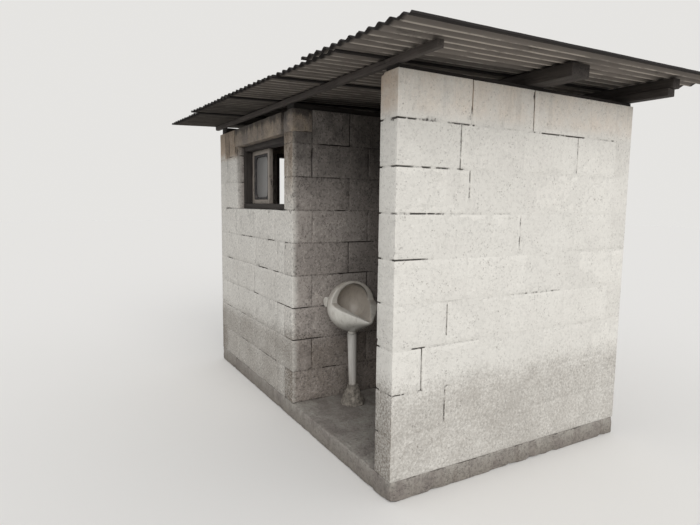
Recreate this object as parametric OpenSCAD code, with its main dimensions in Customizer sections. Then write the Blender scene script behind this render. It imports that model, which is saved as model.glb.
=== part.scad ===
// Block-built outhouse with an open urinal bay, a closed cabin and a corrugated sheet roof.
// Front is -Y, the urinal bay is on the right (+X), the cabin on the left.
// Origin: middle of the base slab's underside, on the ground.

/* [Walls] */
// Overall width of the walls across the front
wall_w = 2570; // [2200:10:3200]
// Overall depth of the walls from front to back
wall_d = 1600; // [1400:10:2200]
// Wall thickness
wall_t = 130; // [100:5:200]
// Height of one block course with its joint
course_h = 200; // [190:5:210]
// Number of block courses
courses = 9; // [8:1:12]
// Clear width of the urinal bay
bay_w = 950; // [800:10:1200]
// Thickness of the concrete base slab
slab_h = 100; // [60:5:200]

/* [Window] */
// Width of the window opening, measured left from the partition
window_w = 918; // [600:2:960]
// Number of courses below the window
sill_courses = 6; // [5:1:6]
// Depth of the cast lintels over the window and the doorway
lintel_h = 133; // [100:1:190]
// How far a lintel rests on the pier beside an opening
lintel_bearing = 45; // [40:5:110]
// Setback of the window frame from the wall's outer face
frame_setback = 50; // [20:5:80]
// Depth of the window frame's timbers, front to back
frame_depth = 86; // [40:2:90]
// Thickness of the window frame's head
frame_head_h = 38; // [25:1:50]
// Thickness of the window frame's jambs and sill
frame_side_t = 38; // [15:1:45]
// Width of the one sliding sash that is left, in a frame made for two
sash_span = 355; // [330:1:440]
// Width of the sash's stiles and rails
sash_w = 31; // [25:1:60]
// Thickness of the sash, front to back
sash_t = 30; // [28:1:40]
// Width of the dark bead between the sash and the pane
bead_w = 16; // [10:1:50]
// Corner radius of the bead's inner edge
bead_r = 50; // [10:1:70]

/* [Doorway] */
// Width of the doorway in the left end wall
door_w = 700; // [600:10:800]
// Width of the door lining's timbers, across the wall
lining_depth = 110; // [80:5:130]
// Thickness of the door lining's timbers
lining_t = 30; // [20:1:45]

/* [Roof timbers] */
// Thickness of the wall plate over the side wall's outer face
plate_h = 20; // [15:1:40]
// Rise of the roof timbers towards the cabin's end, in degrees
cross_rise = 0.66; // [0:0.02:1]
// Width of the wall plates
plate_w = 100; // [60:5:120]
// Setback of the wall plates from the front face
plate_setback = 15; // [0:1:20]
// Height of the batten over the front
front_batten_h = 33; // [25:1:60]
// Width of the batten over the front
front_batten_w = 30; // [25:1:60]
// Width of the middle beam
mid_beam_w = 120; // [60:5:140]
// Distance of the middle beam's front face from the front of the walls
mid_beam_y = 770; // [500:5:1000]
// Height of the rear lower beam
rear_low_h = 40; // [25:1:60]
// Height of the rear upper beam
rear_up_h = 52; // [30:1:80]
// Width of the two rear beams
rear_beam_w = 60; // [40:5:100]
// How far the rear upper beam sits back from the lower one
rear_up_shift = 20; // [0:1:30]
// How far the roof timbers run past the bay's side wall
beam_right = 223; // [100:1:300]
// How far the roof timbers run past the cabin's end wall
beam_left = 140; // [50:5:200]

/* [Roof sheets] */
// Pitch of the corrugations
wave_pitch = 63.5; // [50:0.5:80]
// Rise of the corrugations from trough to crest
wave_rise = 12; // [8:1:20]
// Thickness of the sheet, measured straight up
sheet_t = 6; // [4:0.5:8]
// Waves across one sheet
sheet_waves = 12; // [12:1:13]
// Length of a sheet along the slope
sheet_len = 2200; // [2100:10:2400]
// Turn of the sheets on the timbers, as they were laid out of square, in degrees
sheet_skew = 2.5; // [0:0.5:4]
// Overhang of the first sheet's corner past the front of the walls
front_over = 264; // [150:1:350]
// Overhang of the first sheet's corner past the bay's side wall
right_over = 425; // [350:5:500]

/* [Urinal] */
// Distance of the urinal's middle from the front of the walls
urinal_y = 330; // [250:5:500]
// Height of the bowl's middle above the slab
urinal_z = 617; // [500:1:750]
// Distance of the bowl's middle from the partition
urinal_reach = 160; // [140:1:180]
// Outer radius of the bowl at its fullest
bowl_r = 157; // [140:1:170]
// Thickness of the bowl's wall
bowl_wall = 18; // [12:1:24]
// Radius of the round upper part of the opening
mouth_r = 106; // [90:1:115]
// Height of the opening's middle above the bowl's middle
mouth_rise = 32; // [20:1:50]
// How far the opening's upright face stands before the bowl's middle
mouth_ahead = 7; // [5:1:40]
// How far the lip runs out before the opening's face
lip_reach = 200; // [120:5:230]
// Fall of the lip's edge towards its tip, in degrees
lip_fall = 23.5; // [0:0.5:40]
// Outer diameter of the drain pipe
pipe_d = 46; // [32:1:60]
// Lean of the drain pipe from the upright
pipe_lean = 1.5; // [0:0.5:4]
// Height of the mortar collar round the pipe's foot
collar_h = 120; // [50:5:150]

/* [Hidden] */
$fn = 64;

// Faces of the walls
right_x = wall_w / 2;
left_x = -wall_w / 2;
front_y = -wall_d / 2;
rear_y = wall_d / 2;
bay_right_x = right_x - wall_t;
bay_left_x = bay_right_x - bay_w;
cabin_right_x = bay_left_x - wall_t;
cabin_left_x = left_x + wall_t;
inner_rear_y = rear_y - wall_t;
wall_top = slab_h + courses * course_h;

// Window and doorway
sill_z = slab_h + sill_courses * course_h;
head_z = wall_top - lintel_h;
window_left_x = cabin_right_x - window_w;
window_h = head_z - sill_z;
frame_y = front_y + frame_setback;
sash_right_x = window_left_x + frame_side_t + sash_span;
bead_inset = 3;
pane_t = 5;
pane_setback = 21;

// Roof timbers
timber_z = wall_top + plate_h;
timber_right_x = right_x + beam_right;
timber_left_x = left_x - beam_left;
batten_longer = 27;
mid_beam_longer = 12;
rear_up_longer = 12;
rear_low_y = rear_y - rear_beam_w;
rear_up_y = rear_low_y + rear_up_shift;
roof_slope = atan((rear_low_h + rear_up_h - front_batten_h) / (rear_up_y - front_y));
mid_beam_h = front_batten_h + mid_beam_y * tan(roof_slope);

// Roof sheets, counted from the bay's side
wave_steps = 10;
// Waves from each sheet's right edge to the next one's
sheet_covers = [8, 9, 10, 11];
// How far each sheet's front edge lies behind the first one's corner
sheet_steps = [8, 35, 12, 9, 45];
// A sheet starts at its right edge on a falling flank: its first crest is this many waves in
first_crest = 0.75;
lap_gap = 0.4;
lap_lift = sheet_t + lap_gap;

// Urinal
urinal_mid_y = front_y + urinal_y;
urinal_mid_z = slab_h + urinal_z;
urinal_mid_x = bay_left_x + urinal_reach;
mouth_x = urinal_mid_x + mouth_ahead;
mouth_z = urinal_mid_z + mouth_rise;
mouth_wall = 14;
// Balls that round the lip's tip, inside and outside
tip_r = 10;
tip_x = mouth_x + lip_reach - tip_r;
tip_z = mouth_z - (tip_x - mouth_x) * tan(lip_fall);
outer_tip_r = 29;
outer_tip_x = tip_x - 7;
outer_tip_z = tip_z - 3;
neck_r = bowl_r - 77;
outlet_z = urinal_mid_z - bowl_r - 15;
outlet_d = pipe_d + 8;
foot_shift = (outlet_z - slab_h) * tan(pipe_lean);
inlet_reach = 45;
inlet_end = 125;
inlet_rise = 17;
inlet_d = 44;
inlet_ring_d = 62;
inlet_ring_t = 8;
inlet_ring_gap = 7;
collar_foot_d = 150;
collar_top_d = 74;

// A plain upright slab between two corners
module slab(x0, x1, y0, y1, z0, z1) {
    translate([x0, y0, z0])
        cube([x1 - x0, y1 - y0, z1 - z0]);
}

module base_slab() {
    color([0.52, 0.50, 0.47])
        slab(left_x, right_x, front_y, rear_y, 0, slab_h);
}

module side_wall() {
    color([0.84, 0.82, 0.78])
        slab(bay_right_x, right_x, front_y, rear_y, slab_h, wall_top);
}

// The partition's front top corner is notched for the window lintel
module partition_wall() {
    color([0.50, 0.48, 0.45])
        translate([cabin_right_x, 0, 0])
            rotate([90, 0, 90])
                linear_extrude(wall_t)
                    polygon([
                        [front_y, slab_h], [inner_rear_y, slab_h],
                        [inner_rear_y, wall_top], [front_y + wall_t, wall_top],
                        [front_y + wall_t, head_z], [front_y, head_z]
                    ]);
}

module rear_wall() {
    color([0.80, 0.78, 0.74])
        slab(cabin_left_x, bay_right_x, inner_rear_y, rear_y, slab_h, wall_top);
}

module front_wall_below_window() {
    color([0.80, 0.78, 0.74])
        slab(cabin_left_x, cabin_right_x, front_y, front_y + wall_t, slab_h, sill_z);
}

// Pier beside an opening, stepped at the top for the lintel's bearing.
// It runs from the outer end at 0 to the opening at the width w.
module pier_outline(w, z0) {
    polygon([
        [0, z0], [w, z0], [w, head_z],
        [w - lintel_bearing, head_z], [w - lintel_bearing, wall_top], [0, wall_top]
    ]);
}

module front_wall_pier() {
    color([0.80, 0.78, 0.74])
        translate([cabin_left_x, front_y + wall_t, 0])
            rotate([90, 0, 0])
                linear_extrude(wall_t)
                    pier_outline(window_left_x - cabin_left_x, sill_z);
}

module window_lintel() {
    color([0.42, 0.38, 0.33])
        slab(window_left_x - lintel_bearing, bay_left_x, front_y, front_y + wall_t, head_z, wall_top);
}

module end_wall_front_pier() {
    color([0.80, 0.78, 0.74])
        translate([left_x, front_y, 0])
            rotate([90, 0, 90])
                linear_extrude(wall_t)
                    pier_outline((wall_d - door_w) / 2, slab_h);
}

module end_wall_rear_pier() {
    color([0.80, 0.78, 0.74])
        mirror([0, 1, 0])
            translate([left_x, front_y, 0])
                rotate([90, 0, 90])
                    linear_extrude(wall_t)
                        pier_outline((wall_d - door_w) / 2, slab_h);
}

module door_lintel() {
    half = door_w / 2 + lintel_bearing;
    color([0.42, 0.38, 0.33])
        slab(left_x, cabin_left_x, -half, half, head_z, wall_top);
}

// Window frame, set back in the opening
module frame_part(x0, x1, z0, z1) {
    slab(x0, x1, frame_y, frame_y + frame_depth, z0, z1);
}

module window_head() {
    color([0.30, 0.27, 0.25])
        frame_part(window_left_x, cabin_right_x, head_z - frame_head_h, head_z);
}

module window_sill() {
    color([0.30, 0.27, 0.25])
        frame_part(window_left_x, cabin_right_x, sill_z, sill_z + frame_side_t);
}

module window_jamb(x0) {
    frame_part(x0, x0 + frame_side_t, sill_z + frame_side_t, head_z - frame_head_h);
}

module window_jamb_left() {
    color([0.30, 0.27, 0.25])
        window_jamb(window_left_x);
}

module window_jamb_right() {
    color([0.30, 0.27, 0.25])
        window_jamb(cabin_right_x - frame_side_t);
}

// Outline of the sash, which fills the left half of the frame, shrunk by a margin
module sash_outline(margin) {
    translate([window_left_x + frame_side_t + margin, sill_z + frame_side_t + margin])
        square([
            sash_span - 2 * margin,
            window_h - frame_side_t - frame_head_h - 2 * margin
        ]);
}

// The same outline with round corners, made of arcs and straight sides
module round_outline(margin, r) {
    x0 = window_left_x + frame_side_t + margin;
    x1 = sash_right_x - margin;
    z0 = sill_z + frame_side_t + margin;
    z1 = head_z - frame_head_h - margin;
    for (x = [x0 + r, x1 - r], z = [z0 + r, z1 - r])
        translate([x, z])
            circle(r);
    translate([x0 + r, z0])
        square([x1 - x0 - 2 * r, z1 - z0]);
    translate([x0, z0 + r])
        square([x1 - x0, z1 - z0 - 2 * r]);
}

// Stands an outline up in the window plane, from y0 and t deep
module in_window(y0, t) {
    translate([0, y0 + t, 0])
        rotate([90, 0, 0])
            linear_extrude(t)
                children();
}

module window_sash() {
    color([0.72, 0.70, 0.66])
        in_window(frame_y + frame_depth - sash_t, sash_t)
            difference() {
                sash_outline(0);
                sash_outline(sash_w);
            }
}

module window_bead() {
    color([0.33, 0.31, 0.31])
        in_window(frame_y + frame_depth - sash_t + bead_inset, sash_t - 2 * bead_inset)
            difference() {
                sash_outline(sash_w);
                round_outline(sash_w + bead_w, bead_r);
            }
}

module window_pane() {
    color([0.62, 0.65, 0.68])
        in_window(frame_y + frame_depth - sash_t + pane_setback, pane_t)
            round_outline(sash_w + bead_w, bead_r);
}

// Door lining in the end wall's opening
module lining_side() {
    slab(left_x + (wall_t - lining_depth) / 2, left_x + (wall_t + lining_depth) / 2,
         -door_w / 2, -door_w / 2 + lining_t, slab_h, head_z - lining_t);
}

module door_lining_front() {
    color([0.30, 0.27, 0.25])
        lining_side();
}

module door_lining_rear() {
    color([0.30, 0.27, 0.25])
        mirror([0, 1, 0])
            lining_side();
}

module door_lining_head() {
    color([0.30, 0.27, 0.25])
        slab(left_x + (wall_t - lining_depth) / 2, left_x + (wall_t + lining_depth) / 2,
             -door_w / 2, door_w / 2, head_z - lining_t, head_z);
}

// Height of the timbers' underside over a place along the front
function timber_under(x) = timber_z + (right_x - x) * tan(cross_rise);

// Wall plates lie along the walls that run front to back.
// Their tops are planed to the rise of the timbers that they carry.
module wall_plate(mid_x) {
    x0 = mid_x - plate_w / 2;
    x1 = mid_x + plate_w / 2;
    translate([0, rear_y, 0])
        rotate([90, 0, 0])
            linear_extrude(wall_d - plate_setback)
                polygon([
                    [x0, wall_top], [x1, wall_top],
                    [x1, timber_under(x1)], [x0, timber_under(x0)]
                ]);
}

// Turns what is built level over the walls to the rise of the timbers
module at_cross_rise() {
    translate([right_x, 0, timber_z])
        rotate([0, cross_rise, 0])
            translate([-right_x, 0, -timber_z])
                children();
}

module side_wall_plate() {
    color([0.24, 0.21, 0.20])
        wall_plate(right_x - wall_t / 2);
}

module partition_wall_plate() {
    color([0.24, 0.21, 0.20])
        wall_plate(bay_left_x - wall_t / 2);
}

module end_wall_plate() {
    color([0.24, 0.21, 0.20])
        wall_plate(left_x + wall_t / 2);
}

// Roof timbers run across all the walls, and some end a little further out
module roof_timber(y0, w, z0, h, longer = 0) {
    at_cross_rise()
        slab(timber_left_x, timber_right_x + longer, y0, y0 + w, z0, z0 + h);
}

module front_batten() {
    color([0.26, 0.23, 0.22])
        roof_timber(front_y, front_batten_w, timber_z, front_batten_h, batten_longer);
}

module middle_beam() {
    color([0.24, 0.21, 0.20])
        roof_timber(front_y + mid_beam_y, mid_beam_w, timber_z, mid_beam_h, mid_beam_longer);
}

module rear_beam_lower() {
    color([0.24, 0.21, 0.20])
        roof_timber(rear_low_y, rear_beam_w, timber_z, rear_low_h);
}

module rear_beam_upper() {
    color([0.24, 0.21, 0.20])
        roof_timber(rear_up_y, rear_beam_w, timber_z + rear_low_h, rear_up_h, rear_up_longer);
}

// Lift of a sheet per wave, which carries its left side over the next sheet
function wave_lift(index) =
    index < len(sheet_covers) ? lap_lift / sheet_covers[index] : 0;

// Underside of a sheet, w waves in from its right edge. Its first trough has no lift.
function sheet_under(index, w) =
    wave_rise / 2 * (1 + cos(360 * (w - first_crest)))
    + wave_lift(index) * (w + 0.5 - first_crest);

function sheet_side(index, extra) =
    [for (i = [0 : sheet_waves * wave_steps])
        let (w = i / wave_steps) [-w * wave_pitch, sheet_under(index, w) + extra]];

function reversed(list) = [for (i = [len(list) - 1 : -1 : 0]) list[i]];

function waves_before(index) =
    index == 0 ? 0 : waves_before(index - 1) + sheet_covers[index - 1];

// One corrugated sheet, its troughs on the front edges of the timbers
module roof_sheet(index) {
    at_cross_rise()
        translate([0, front_y, timber_z + front_batten_h])
            rotate([roof_slope, 0, 0])
                translate([right_x + right_over, -front_over, 0])
                    rotate([0, 0, sheet_skew])
                        translate([-waves_before(index) * wave_pitch, sheet_len + sheet_steps[index], 0])
                            rotate([90, 0, 0])
                                linear_extrude(sheet_len)
                                    polygon(concat(
                                        sheet_side(index, 0),
                                        reversed(sheet_side(index, sheet_t))
                                    ));
}

module roof_sheet_1() {
    color([0.40, 0.38, 0.36])
        roof_sheet(0);
}

module roof_sheet_2() {
    color([0.38, 0.36, 0.34])
        roof_sheet(1);
}

module roof_sheet_3() {
    color([0.40, 0.38, 0.36])
        roof_sheet(2);
}

module roof_sheet_4() {
    color([0.38, 0.36, 0.34])
        roof_sheet(3);
}

module roof_sheet_5() {
    color([0.40, 0.38, 0.36])
        roof_sheet(4);
}

// Outline of two balls and the straight sides that touch both, to be turned about Y.
// The first ball is at 0, the second one at the distance d along Y.
module tapered_half(r1, r2, d) {
    lean = asin((r1 - r2) / d);
    y1 = r1 * sin(lean);
    y2 = d + r2 * sin(lean);
    intersection() {
        translate([0, -r1])
            square([r1, r1 + d + r2]);
        union() {
            circle(r1);
            translate([0, d])
                circle(r2);
            polygon([[0, y1], [r1 * cos(lean), y1], [r2 * cos(lean), y2], [0, y2]]);
        }
    }
}

// Two balls in the urinal's middle plane, joined by the taper that touches both
module tapered_ball(x1, z1, r1, x2, z2, r2) {
    translate([x1, urinal_mid_y, z1])
        rotate([0, 90 + atan((z1 - z2) / (x2 - x1)), 0])
            rotate_extrude()
                tapered_half(r1, r2, norm([x2 - x1, z2 - z1]));
}

// A round neck in the urinal's middle plane, from the partition to the bowl's middle
module bowl_neck() {
    translate([bay_left_x, urinal_mid_y, urinal_mid_z])
        rotate([0, 90, 0])
            cylinder(r = neck_r, h = urinal_reach);
}

// The room before the opening's upright face and over the lip's falling edge
module room_over_lip() {
    far_x = tip_x + 2 * bowl_r;
    high_z = urinal_mid_z + 2 * bowl_r;
    translate([0, urinal_mid_y + 2 * bowl_r, 0])
        rotate([90, 0, 0])
            linear_extrude(4 * bowl_r)
                polygon([
                    [mouth_x, high_z], [mouth_x, mouth_z],
                    [far_x, mouth_z - (far_x - mouth_x) * tan(lip_fall)], [far_x, high_z]
                ]);
}

// The bowl's hollow: a ball behind the opening, and a taper that runs out to the lip's tip
module bowl_hollow() {
    intersection() {
        translate([urinal_mid_x, urinal_mid_y, urinal_mid_z])
            sphere(bowl_r - bowl_wall);
        slab(bay_left_x, mouth_x - mouth_wall, urinal_mid_y - bowl_r, urinal_mid_y + bowl_r,
             urinal_mid_z - bowl_r, urinal_mid_z + bowl_r);
    }
    tapered_ball(mouth_x, mouth_z, mouth_r, tip_x, tip_z, tip_r);
}

module urinal_bowl() {
    color([0.90, 0.89, 0.86])
        difference() {
            union() {
                tapered_ball(urinal_mid_x, urinal_mid_z, bowl_r,
                             outer_tip_x, outer_tip_z, outer_tip_r);
                bowl_neck();
                translate([urinal_mid_x, urinal_mid_y, outlet_z])
                    cylinder(d = outlet_d, h = urinal_mid_z - outlet_z);
            }
            room_over_lip();
            bowl_hollow();
        }
}

// Water inlet, a short stub with two rings, on the flank behind the bowl
module urinal_inlet() {
    $fn = 128;
    color([0.88, 0.88, 0.86])
        difference() {
            translate([bay_left_x + inlet_reach, urinal_mid_y, urinal_mid_z + inlet_rise])
                rotate([90, 0, 0]) {
                    cylinder(d = inlet_d, h = inlet_end);
                    for (back = [0, inlet_ring_t + inlet_ring_gap])
                        translate([0, 0, inlet_end - inlet_ring_t - back])
                            cylinder(d = inlet_ring_d, h = inlet_ring_t);
                }
            bowl_neck();
            translate([urinal_mid_x, urinal_mid_y, urinal_mid_z])
                sphere(bowl_r);
        }
}

// The drain pipe's run, leaning back a little towards its foot
module drain_run() {
    translate([urinal_mid_x, urinal_mid_y, outlet_z])
        rotate([180 + pipe_lean, 0, 0])
            translate([0, 0, -pipe_d])
                cylinder(d = pipe_d, h = outlet_z - slab_h + 2 * pipe_d);
}

module urinal_drain_pipe() {
    color([0.70, 0.70, 0.70])
        intersection() {
            drain_run();
            slab(bay_left_x, bay_right_x, front_y, rear_y, slab_h, outlet_z);
        }
}

module pipe_collar() {
    color([0.50, 0.48, 0.45])
        difference() {
            translate([urinal_mid_x, urinal_mid_y + foot_shift, slab_h])
                cylinder(d1 = collar_foot_d, d2 = collar_top_d, h = collar_h);
            drain_run();
        }
}

base_slab();
side_wall();
partition_wall();
rear_wall();
front_wall_below_window();
front_wall_pier();
window_lintel();
end_wall_front_pier();
end_wall_rear_pier();
door_lintel();
window_head();
window_sill();
window_jamb_left();
window_jamb_right();
window_sash();
window_bead();
window_pane();
door_lining_front();
door_lining_rear();
door_lining_head();
side_wall_plate();
partition_wall_plate();
end_wall_plate();
front_batten();
middle_beam();
rear_beam_lower();
rear_beam_upper();
roof_sheet_1();
roof_sheet_2();
roof_sheet_3();
roof_sheet_4();
roof_sheet_5();
urinal_bowl();
urinal_inlet();
urinal_drain_pipe();
pipe_collar();
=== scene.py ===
"""Finishes a small block-built outhouse around its packed construction.

Its walls become courses of rough blocks in mortar, thinly whitewashed outside. Its corrugated
sheets and timbers weather, the urinal gets its glaze and grime, and a plain studio lights it all.
"""

import itertools
import math
from functools import lru_cache
from typing import NamedTuple

import bmesh
import bpy
import numpy as np
from bpy.props import FloatProperty, FloatVectorProperty, IntProperty, PointerProperty
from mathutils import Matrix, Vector


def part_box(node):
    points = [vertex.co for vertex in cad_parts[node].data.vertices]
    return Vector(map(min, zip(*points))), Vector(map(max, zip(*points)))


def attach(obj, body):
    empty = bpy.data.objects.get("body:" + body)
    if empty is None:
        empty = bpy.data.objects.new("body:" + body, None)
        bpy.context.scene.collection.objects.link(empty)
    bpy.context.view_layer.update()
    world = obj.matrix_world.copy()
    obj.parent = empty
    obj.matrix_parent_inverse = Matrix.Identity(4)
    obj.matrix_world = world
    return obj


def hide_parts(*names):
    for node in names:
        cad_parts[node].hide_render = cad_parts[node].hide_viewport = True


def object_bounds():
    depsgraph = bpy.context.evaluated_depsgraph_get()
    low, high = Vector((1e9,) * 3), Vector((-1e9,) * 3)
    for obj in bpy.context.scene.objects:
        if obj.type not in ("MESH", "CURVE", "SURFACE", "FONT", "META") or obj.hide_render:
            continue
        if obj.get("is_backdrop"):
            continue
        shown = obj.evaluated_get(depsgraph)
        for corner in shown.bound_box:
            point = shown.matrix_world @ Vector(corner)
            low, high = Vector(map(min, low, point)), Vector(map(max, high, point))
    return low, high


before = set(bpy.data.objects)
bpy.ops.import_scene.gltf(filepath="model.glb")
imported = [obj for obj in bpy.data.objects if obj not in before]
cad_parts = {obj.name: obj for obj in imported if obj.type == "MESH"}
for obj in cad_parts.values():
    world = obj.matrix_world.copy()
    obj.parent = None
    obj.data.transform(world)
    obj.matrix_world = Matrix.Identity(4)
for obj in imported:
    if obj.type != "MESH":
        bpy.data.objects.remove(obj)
CAD_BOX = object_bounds()

bl_info = {
    "name": "Block outhouse finish",
    "version": (1, 0, 0),
    "blender": (4, 5, 0),
    "location": "View3D > Sidebar > Outhouse",
    "description": "Lays, weathers and lights a small block outhouse with an open urinal bay",
    "category": "Object",
}


# Settings

def length(name, text, value):
    """A size that a user may change, in metres."""
    return FloatProperty(name=name, description=text, default=value, unit="LENGTH", precision=4)


def share(name, text, value):
    """A share that a user may change, from 0 to 1."""
    return FloatProperty(
        name=name, description=text, default=value, min=0, max=1, subtype="FACTOR"
    )


def colour(name, text, value):
    """A colour that a user may change, as it looks on the screen."""
    return FloatVectorProperty(
        name=name, description=text, default=value, min=0, max=1, size=3, subtype="COLOR_GAMMA"
    )


def tint(name, text, value):
    """The colour of a light, in linear values."""
    return FloatVectorProperty(
        name=name, description=text, default=value, min=0, max=1, size=3, subtype="COLOR"
    )


class BlockworkSettings(bpy.types.PropertyGroup):
    """Sizes and colours of the block walls and of their base."""

    course: length("Course", "Height of one course with its bed joint", 0.2)
    module: length("Module", "Length of one block with its joint", 0.4)
    joint: length("Joint", "Width of the mortar joints", 0.007)
    arris: length("Arris", "Rounding of the blocks' edges", 0.003)
    mesh_step: length("Mesh step", "Distance of the mesh lines on a block", 0.026)
    mesh_step_across: length("Mesh step across", "The same through a wall", 0.04)
    chip: length("Chip", "Depth of the chips along the blocks' edges", 0.006)
    open_depth: length("Open depth", "Further depth of a joint whose mortar has fallen out", 0.014)
    seed: IntProperty(name="Seed", description="Chooses the blocks' irregularities", default=7)
    wash: colour("Whitewash", "Whitewash where it is clean", (0.90, 0.89, 0.865))
    wash_dull: colour("Dull whitewash", "Whitewash where it is thin", (0.80, 0.785, 0.76))
    tan: colour("Tan stain", "Stain under the roof", (0.77, 0.69, 0.61))
    bare: colour("Bare block", "Bare block, its lighter parts", (0.74, 0.71, 0.685))
    bare_dark: colour("Dark block", "Bare block, its darker parts", (0.50, 0.47, 0.45))
    # The open joints' colour also serves as painted shade in the sound joints
    gap: colour("Open joint", "Dirt in the open joints", (0.17, 0.15, 0.14))
    soil: colour("Soil", "Soil splashed on the foot of the walls", (0.40, 0.355, 0.31))
    lintel: colour("Lintel", "Stained cast concrete", (0.68, 0.62, 0.55))
    stain: colour("Stain", "Dark stain at the top of the cast concrete", (0.19, 0.18, 0.175))
    # A near-black fill that stands in for the shade deep in the lintel's open joint
    packing: colour("Packing", "Packing behind the lintel's open joint", (0.07, 0.065, 0.06))
    slab: colour("Slab", "Rough concrete of the base", (0.68, 0.665, 0.635))


class TimberSettings(bpy.types.PropertyGroup):
    """Sizes and colours of the timbers, the window and the door lining."""

    edge: length("Edge", "Rounding of the sawn edges", 0.003)
    mesh_step: length("Mesh step", "Distance of the mesh lines along a timber", 0.02)
    waver: length("Waver", "How far the sawn faces waver", 0.0012)
    dark: colour("Dark timber", "Weathered timber, its darker grain", (0.14, 0.125, 0.12))
    light: colour("Light timber", "Weathered timber, its lighter grain", (0.46, 0.43, 0.41))
    paint: colour("Sash paint", "Worn paint of the sash", (0.60, 0.565, 0.53))
    bead: colour("Bead", "Dull dark bead round the pane", (0.20, 0.195, 0.20))
    pane: colour("Pane", "Dusty frosted pane", (0.58, 0.575, 0.57))
    pane_bevel: length("Pane bevel", "Rounding of the pane's edges", 0.0012)
    pane_corner: length("Pane corner", "Radius of the pane's round corners", 0.050)
    bead_crown: length("Bead crown", "How far the bead stands out in its middle", 0.004)


class RoofSettings(bpy.types.PropertyGroup):
    """Sizes and colours of the corrugated sheets and their nails."""

    mesh_step: length("Mesh step", "Distance of the mesh lines along a sheet", 0.06)
    chip: length("Chip", "Depth of the chips along the sheets' ends", 0.014)
    nail_waves: IntProperty(name="Nail waves", description="Waves from nail to nail", default=3)
    nail_head: length("Nail head", "Diameter of a nail's head", 0.014)
    washer: length("Washer", "Diameter of a nail's washer", 0.024)
    top: colour("Top", "Upper side, its lighter parts", (0.50, 0.485, 0.46))
    top_dark: colour("Dark top", "Upper side, its darker parts", (0.27, 0.26, 0.245))
    under: colour("Underside", "Underside, its lighter parts", (0.62, 0.59, 0.565))
    under_dark: colour("Dark underside", "Underside, its darker parts", (0.40, 0.375, 0.355))
    stripe: colour("Stripe", "Pale bloom along the waves of the underside", (0.82, 0.785, 0.745))
    moss: colour("Growth", "Dark growth along the sheets' edges", (0.15, 0.14, 0.14))
    rust: colour("Rust", "Rusty nail heads and washers", (0.33, 0.20, 0.13))
    # Painted shade, not damp: how much darker the underside is painted at the cabin's end
    damp: share("Damp", "How much darker the underside is at the cabin's end", 0.73)
    seed: IntProperty(name="Seed", description="Chooses how the nails lean", default=5)


class UrinalSettings(bpy.types.PropertyGroup):
    """Sizes and colours of the urinal, its pipe and the mortar at its foot."""

    voxel: length("Voxel", "Fineness with which the casting's forms are blended", 0.0035)
    blend: IntProperty(name="Blend", description="Smoothing passes over the casting", default=18)
    lump: length("Lump", "Roughness of the mortar collar", 0.009)
    bevel: length("Bevel", "Rounding of the inlet's edges", 0.0012)
    flare: share("Flare", "How much wider the pipe is at its top than at its foot", 0.30)
    glaze: colour("Glaze", "Clean glaze", (0.84, 0.83, 0.80))
    grime: colour("Grime", "Grime in the bowl", (0.78, 0.745, 0.70))
    dust: colour("Dust", "Dust on the glaze", (0.62, 0.59, 0.55))
    pipe: colour("Pipe", "Plastic drain pipe", (0.76, 0.75, 0.73))
    mortar: colour("Mortar", "Mortar round the pipe's foot", (0.37, 0.35, 0.32))


class StudioSettings(bpy.types.PropertyGroup):
    """Floor, lamps and camera."""

    backdrop: colour("Backdrop", "Colour of what is behind the floor", (0.90, 0.895, 0.885))
    floor: colour("Floor", "Colour of the floor as the camera sees it", (0.926, 0.920, 0.909))
    bounce: colour("Floor bounce", "Colour of the floor as light meets it", (0.72, 0.715, 0.70))
    floor_reach: length("Floor reach", "How far the floor goes each way", 40.0)
    sky: FloatProperty(name="Sky", description="Strength of the light from all round", default=0.70)
    sky_tint: tint("Sky tint", "Colour of the light from all round", (0.985, 0.99, 1.0))
    key: FloatProperty(name="Key", description="Strength of the key lamp", default=1.8)
    key_tint: tint("Key tint", "Colour of the key lamp", (1.0, 0.99, 0.975))
    key_way: FloatVectorProperty(
        name="Key way", description="Way from the object to the key lamp",
        default=(0.90, -0.31, 0.45), subtype="DIRECTION",
    )
    key_softness: FloatProperty(
        name="Key softness", description="Width of the key lamp in the sky",
        default=math.radians(55), subtype="ANGLE",
    )
    lens: FloatProperty(name="Lens", description="Focal length in millimetres", default=27.05)
    place: FloatVectorProperty(
        name="Camera", description="Where the camera stands",
        default=(3.1235, -2.0743, 1.3323), subtype="TRANSLATION", precision=4,
    )
    aim: FloatVectorProperty(
        name="Aim", description="How the camera is turned",
        default=tuple(map(math.radians, (83.816, -0.68, 60.207))), subtype="EULER", precision=4,
    )


# Random fields and rounded forms

# Multipliers that scatter a cell's three numbers, and the seed's
SCATTER = (73856093, 19349663, 83492791)
SEED_SCATTER = 2654435


def patches(points, size, seed=0, layers=1):
    """A smooth random field from -1 to 1, whose patches are about size wide."""
    points = np.asarray(points, float)
    total = np.zeros(len(points))
    for layer in range(layers):
        place = points / size * 2 ** layer + 11.7 * (seed + 1)
        cell = np.floor(place).astype(np.int64)
        part = place - cell
        part = part * part * (3 - 2 * part)
        field = np.zeros(len(points))
        for step in itertools.product((0, 1), repeat=3):
            mixed = (cell + step) * SCATTER
            value = mixed[:, 0] ^ mixed[:, 1] ^ mixed[:, 2] ^ (seed * SEED_SCATTER)
            value = (value ^ (value >> 13)) * 1274126177
            value = ((value ^ (value >> 16)) & 0xFFFFFF) / 0x7FFFFF - 1
            field += value * np.where(step, part, 1 - part).prod(1)
        total += field / 2 ** layer
    return total


def ramped(value, low, high):
    """0 below low, 1 above high, and a smooth rise between them."""
    part = np.clip((np.asarray(value, float) - low) / (high - low), 0, 1)
    return part * part * (3 - 2 * part)


def cells_of(rows, columns):
    """Row and column of each cell of a grid, row by row."""
    return (v.ravel() for v in np.meshgrid(range(rows), range(columns), indexing="ij"))


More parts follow.
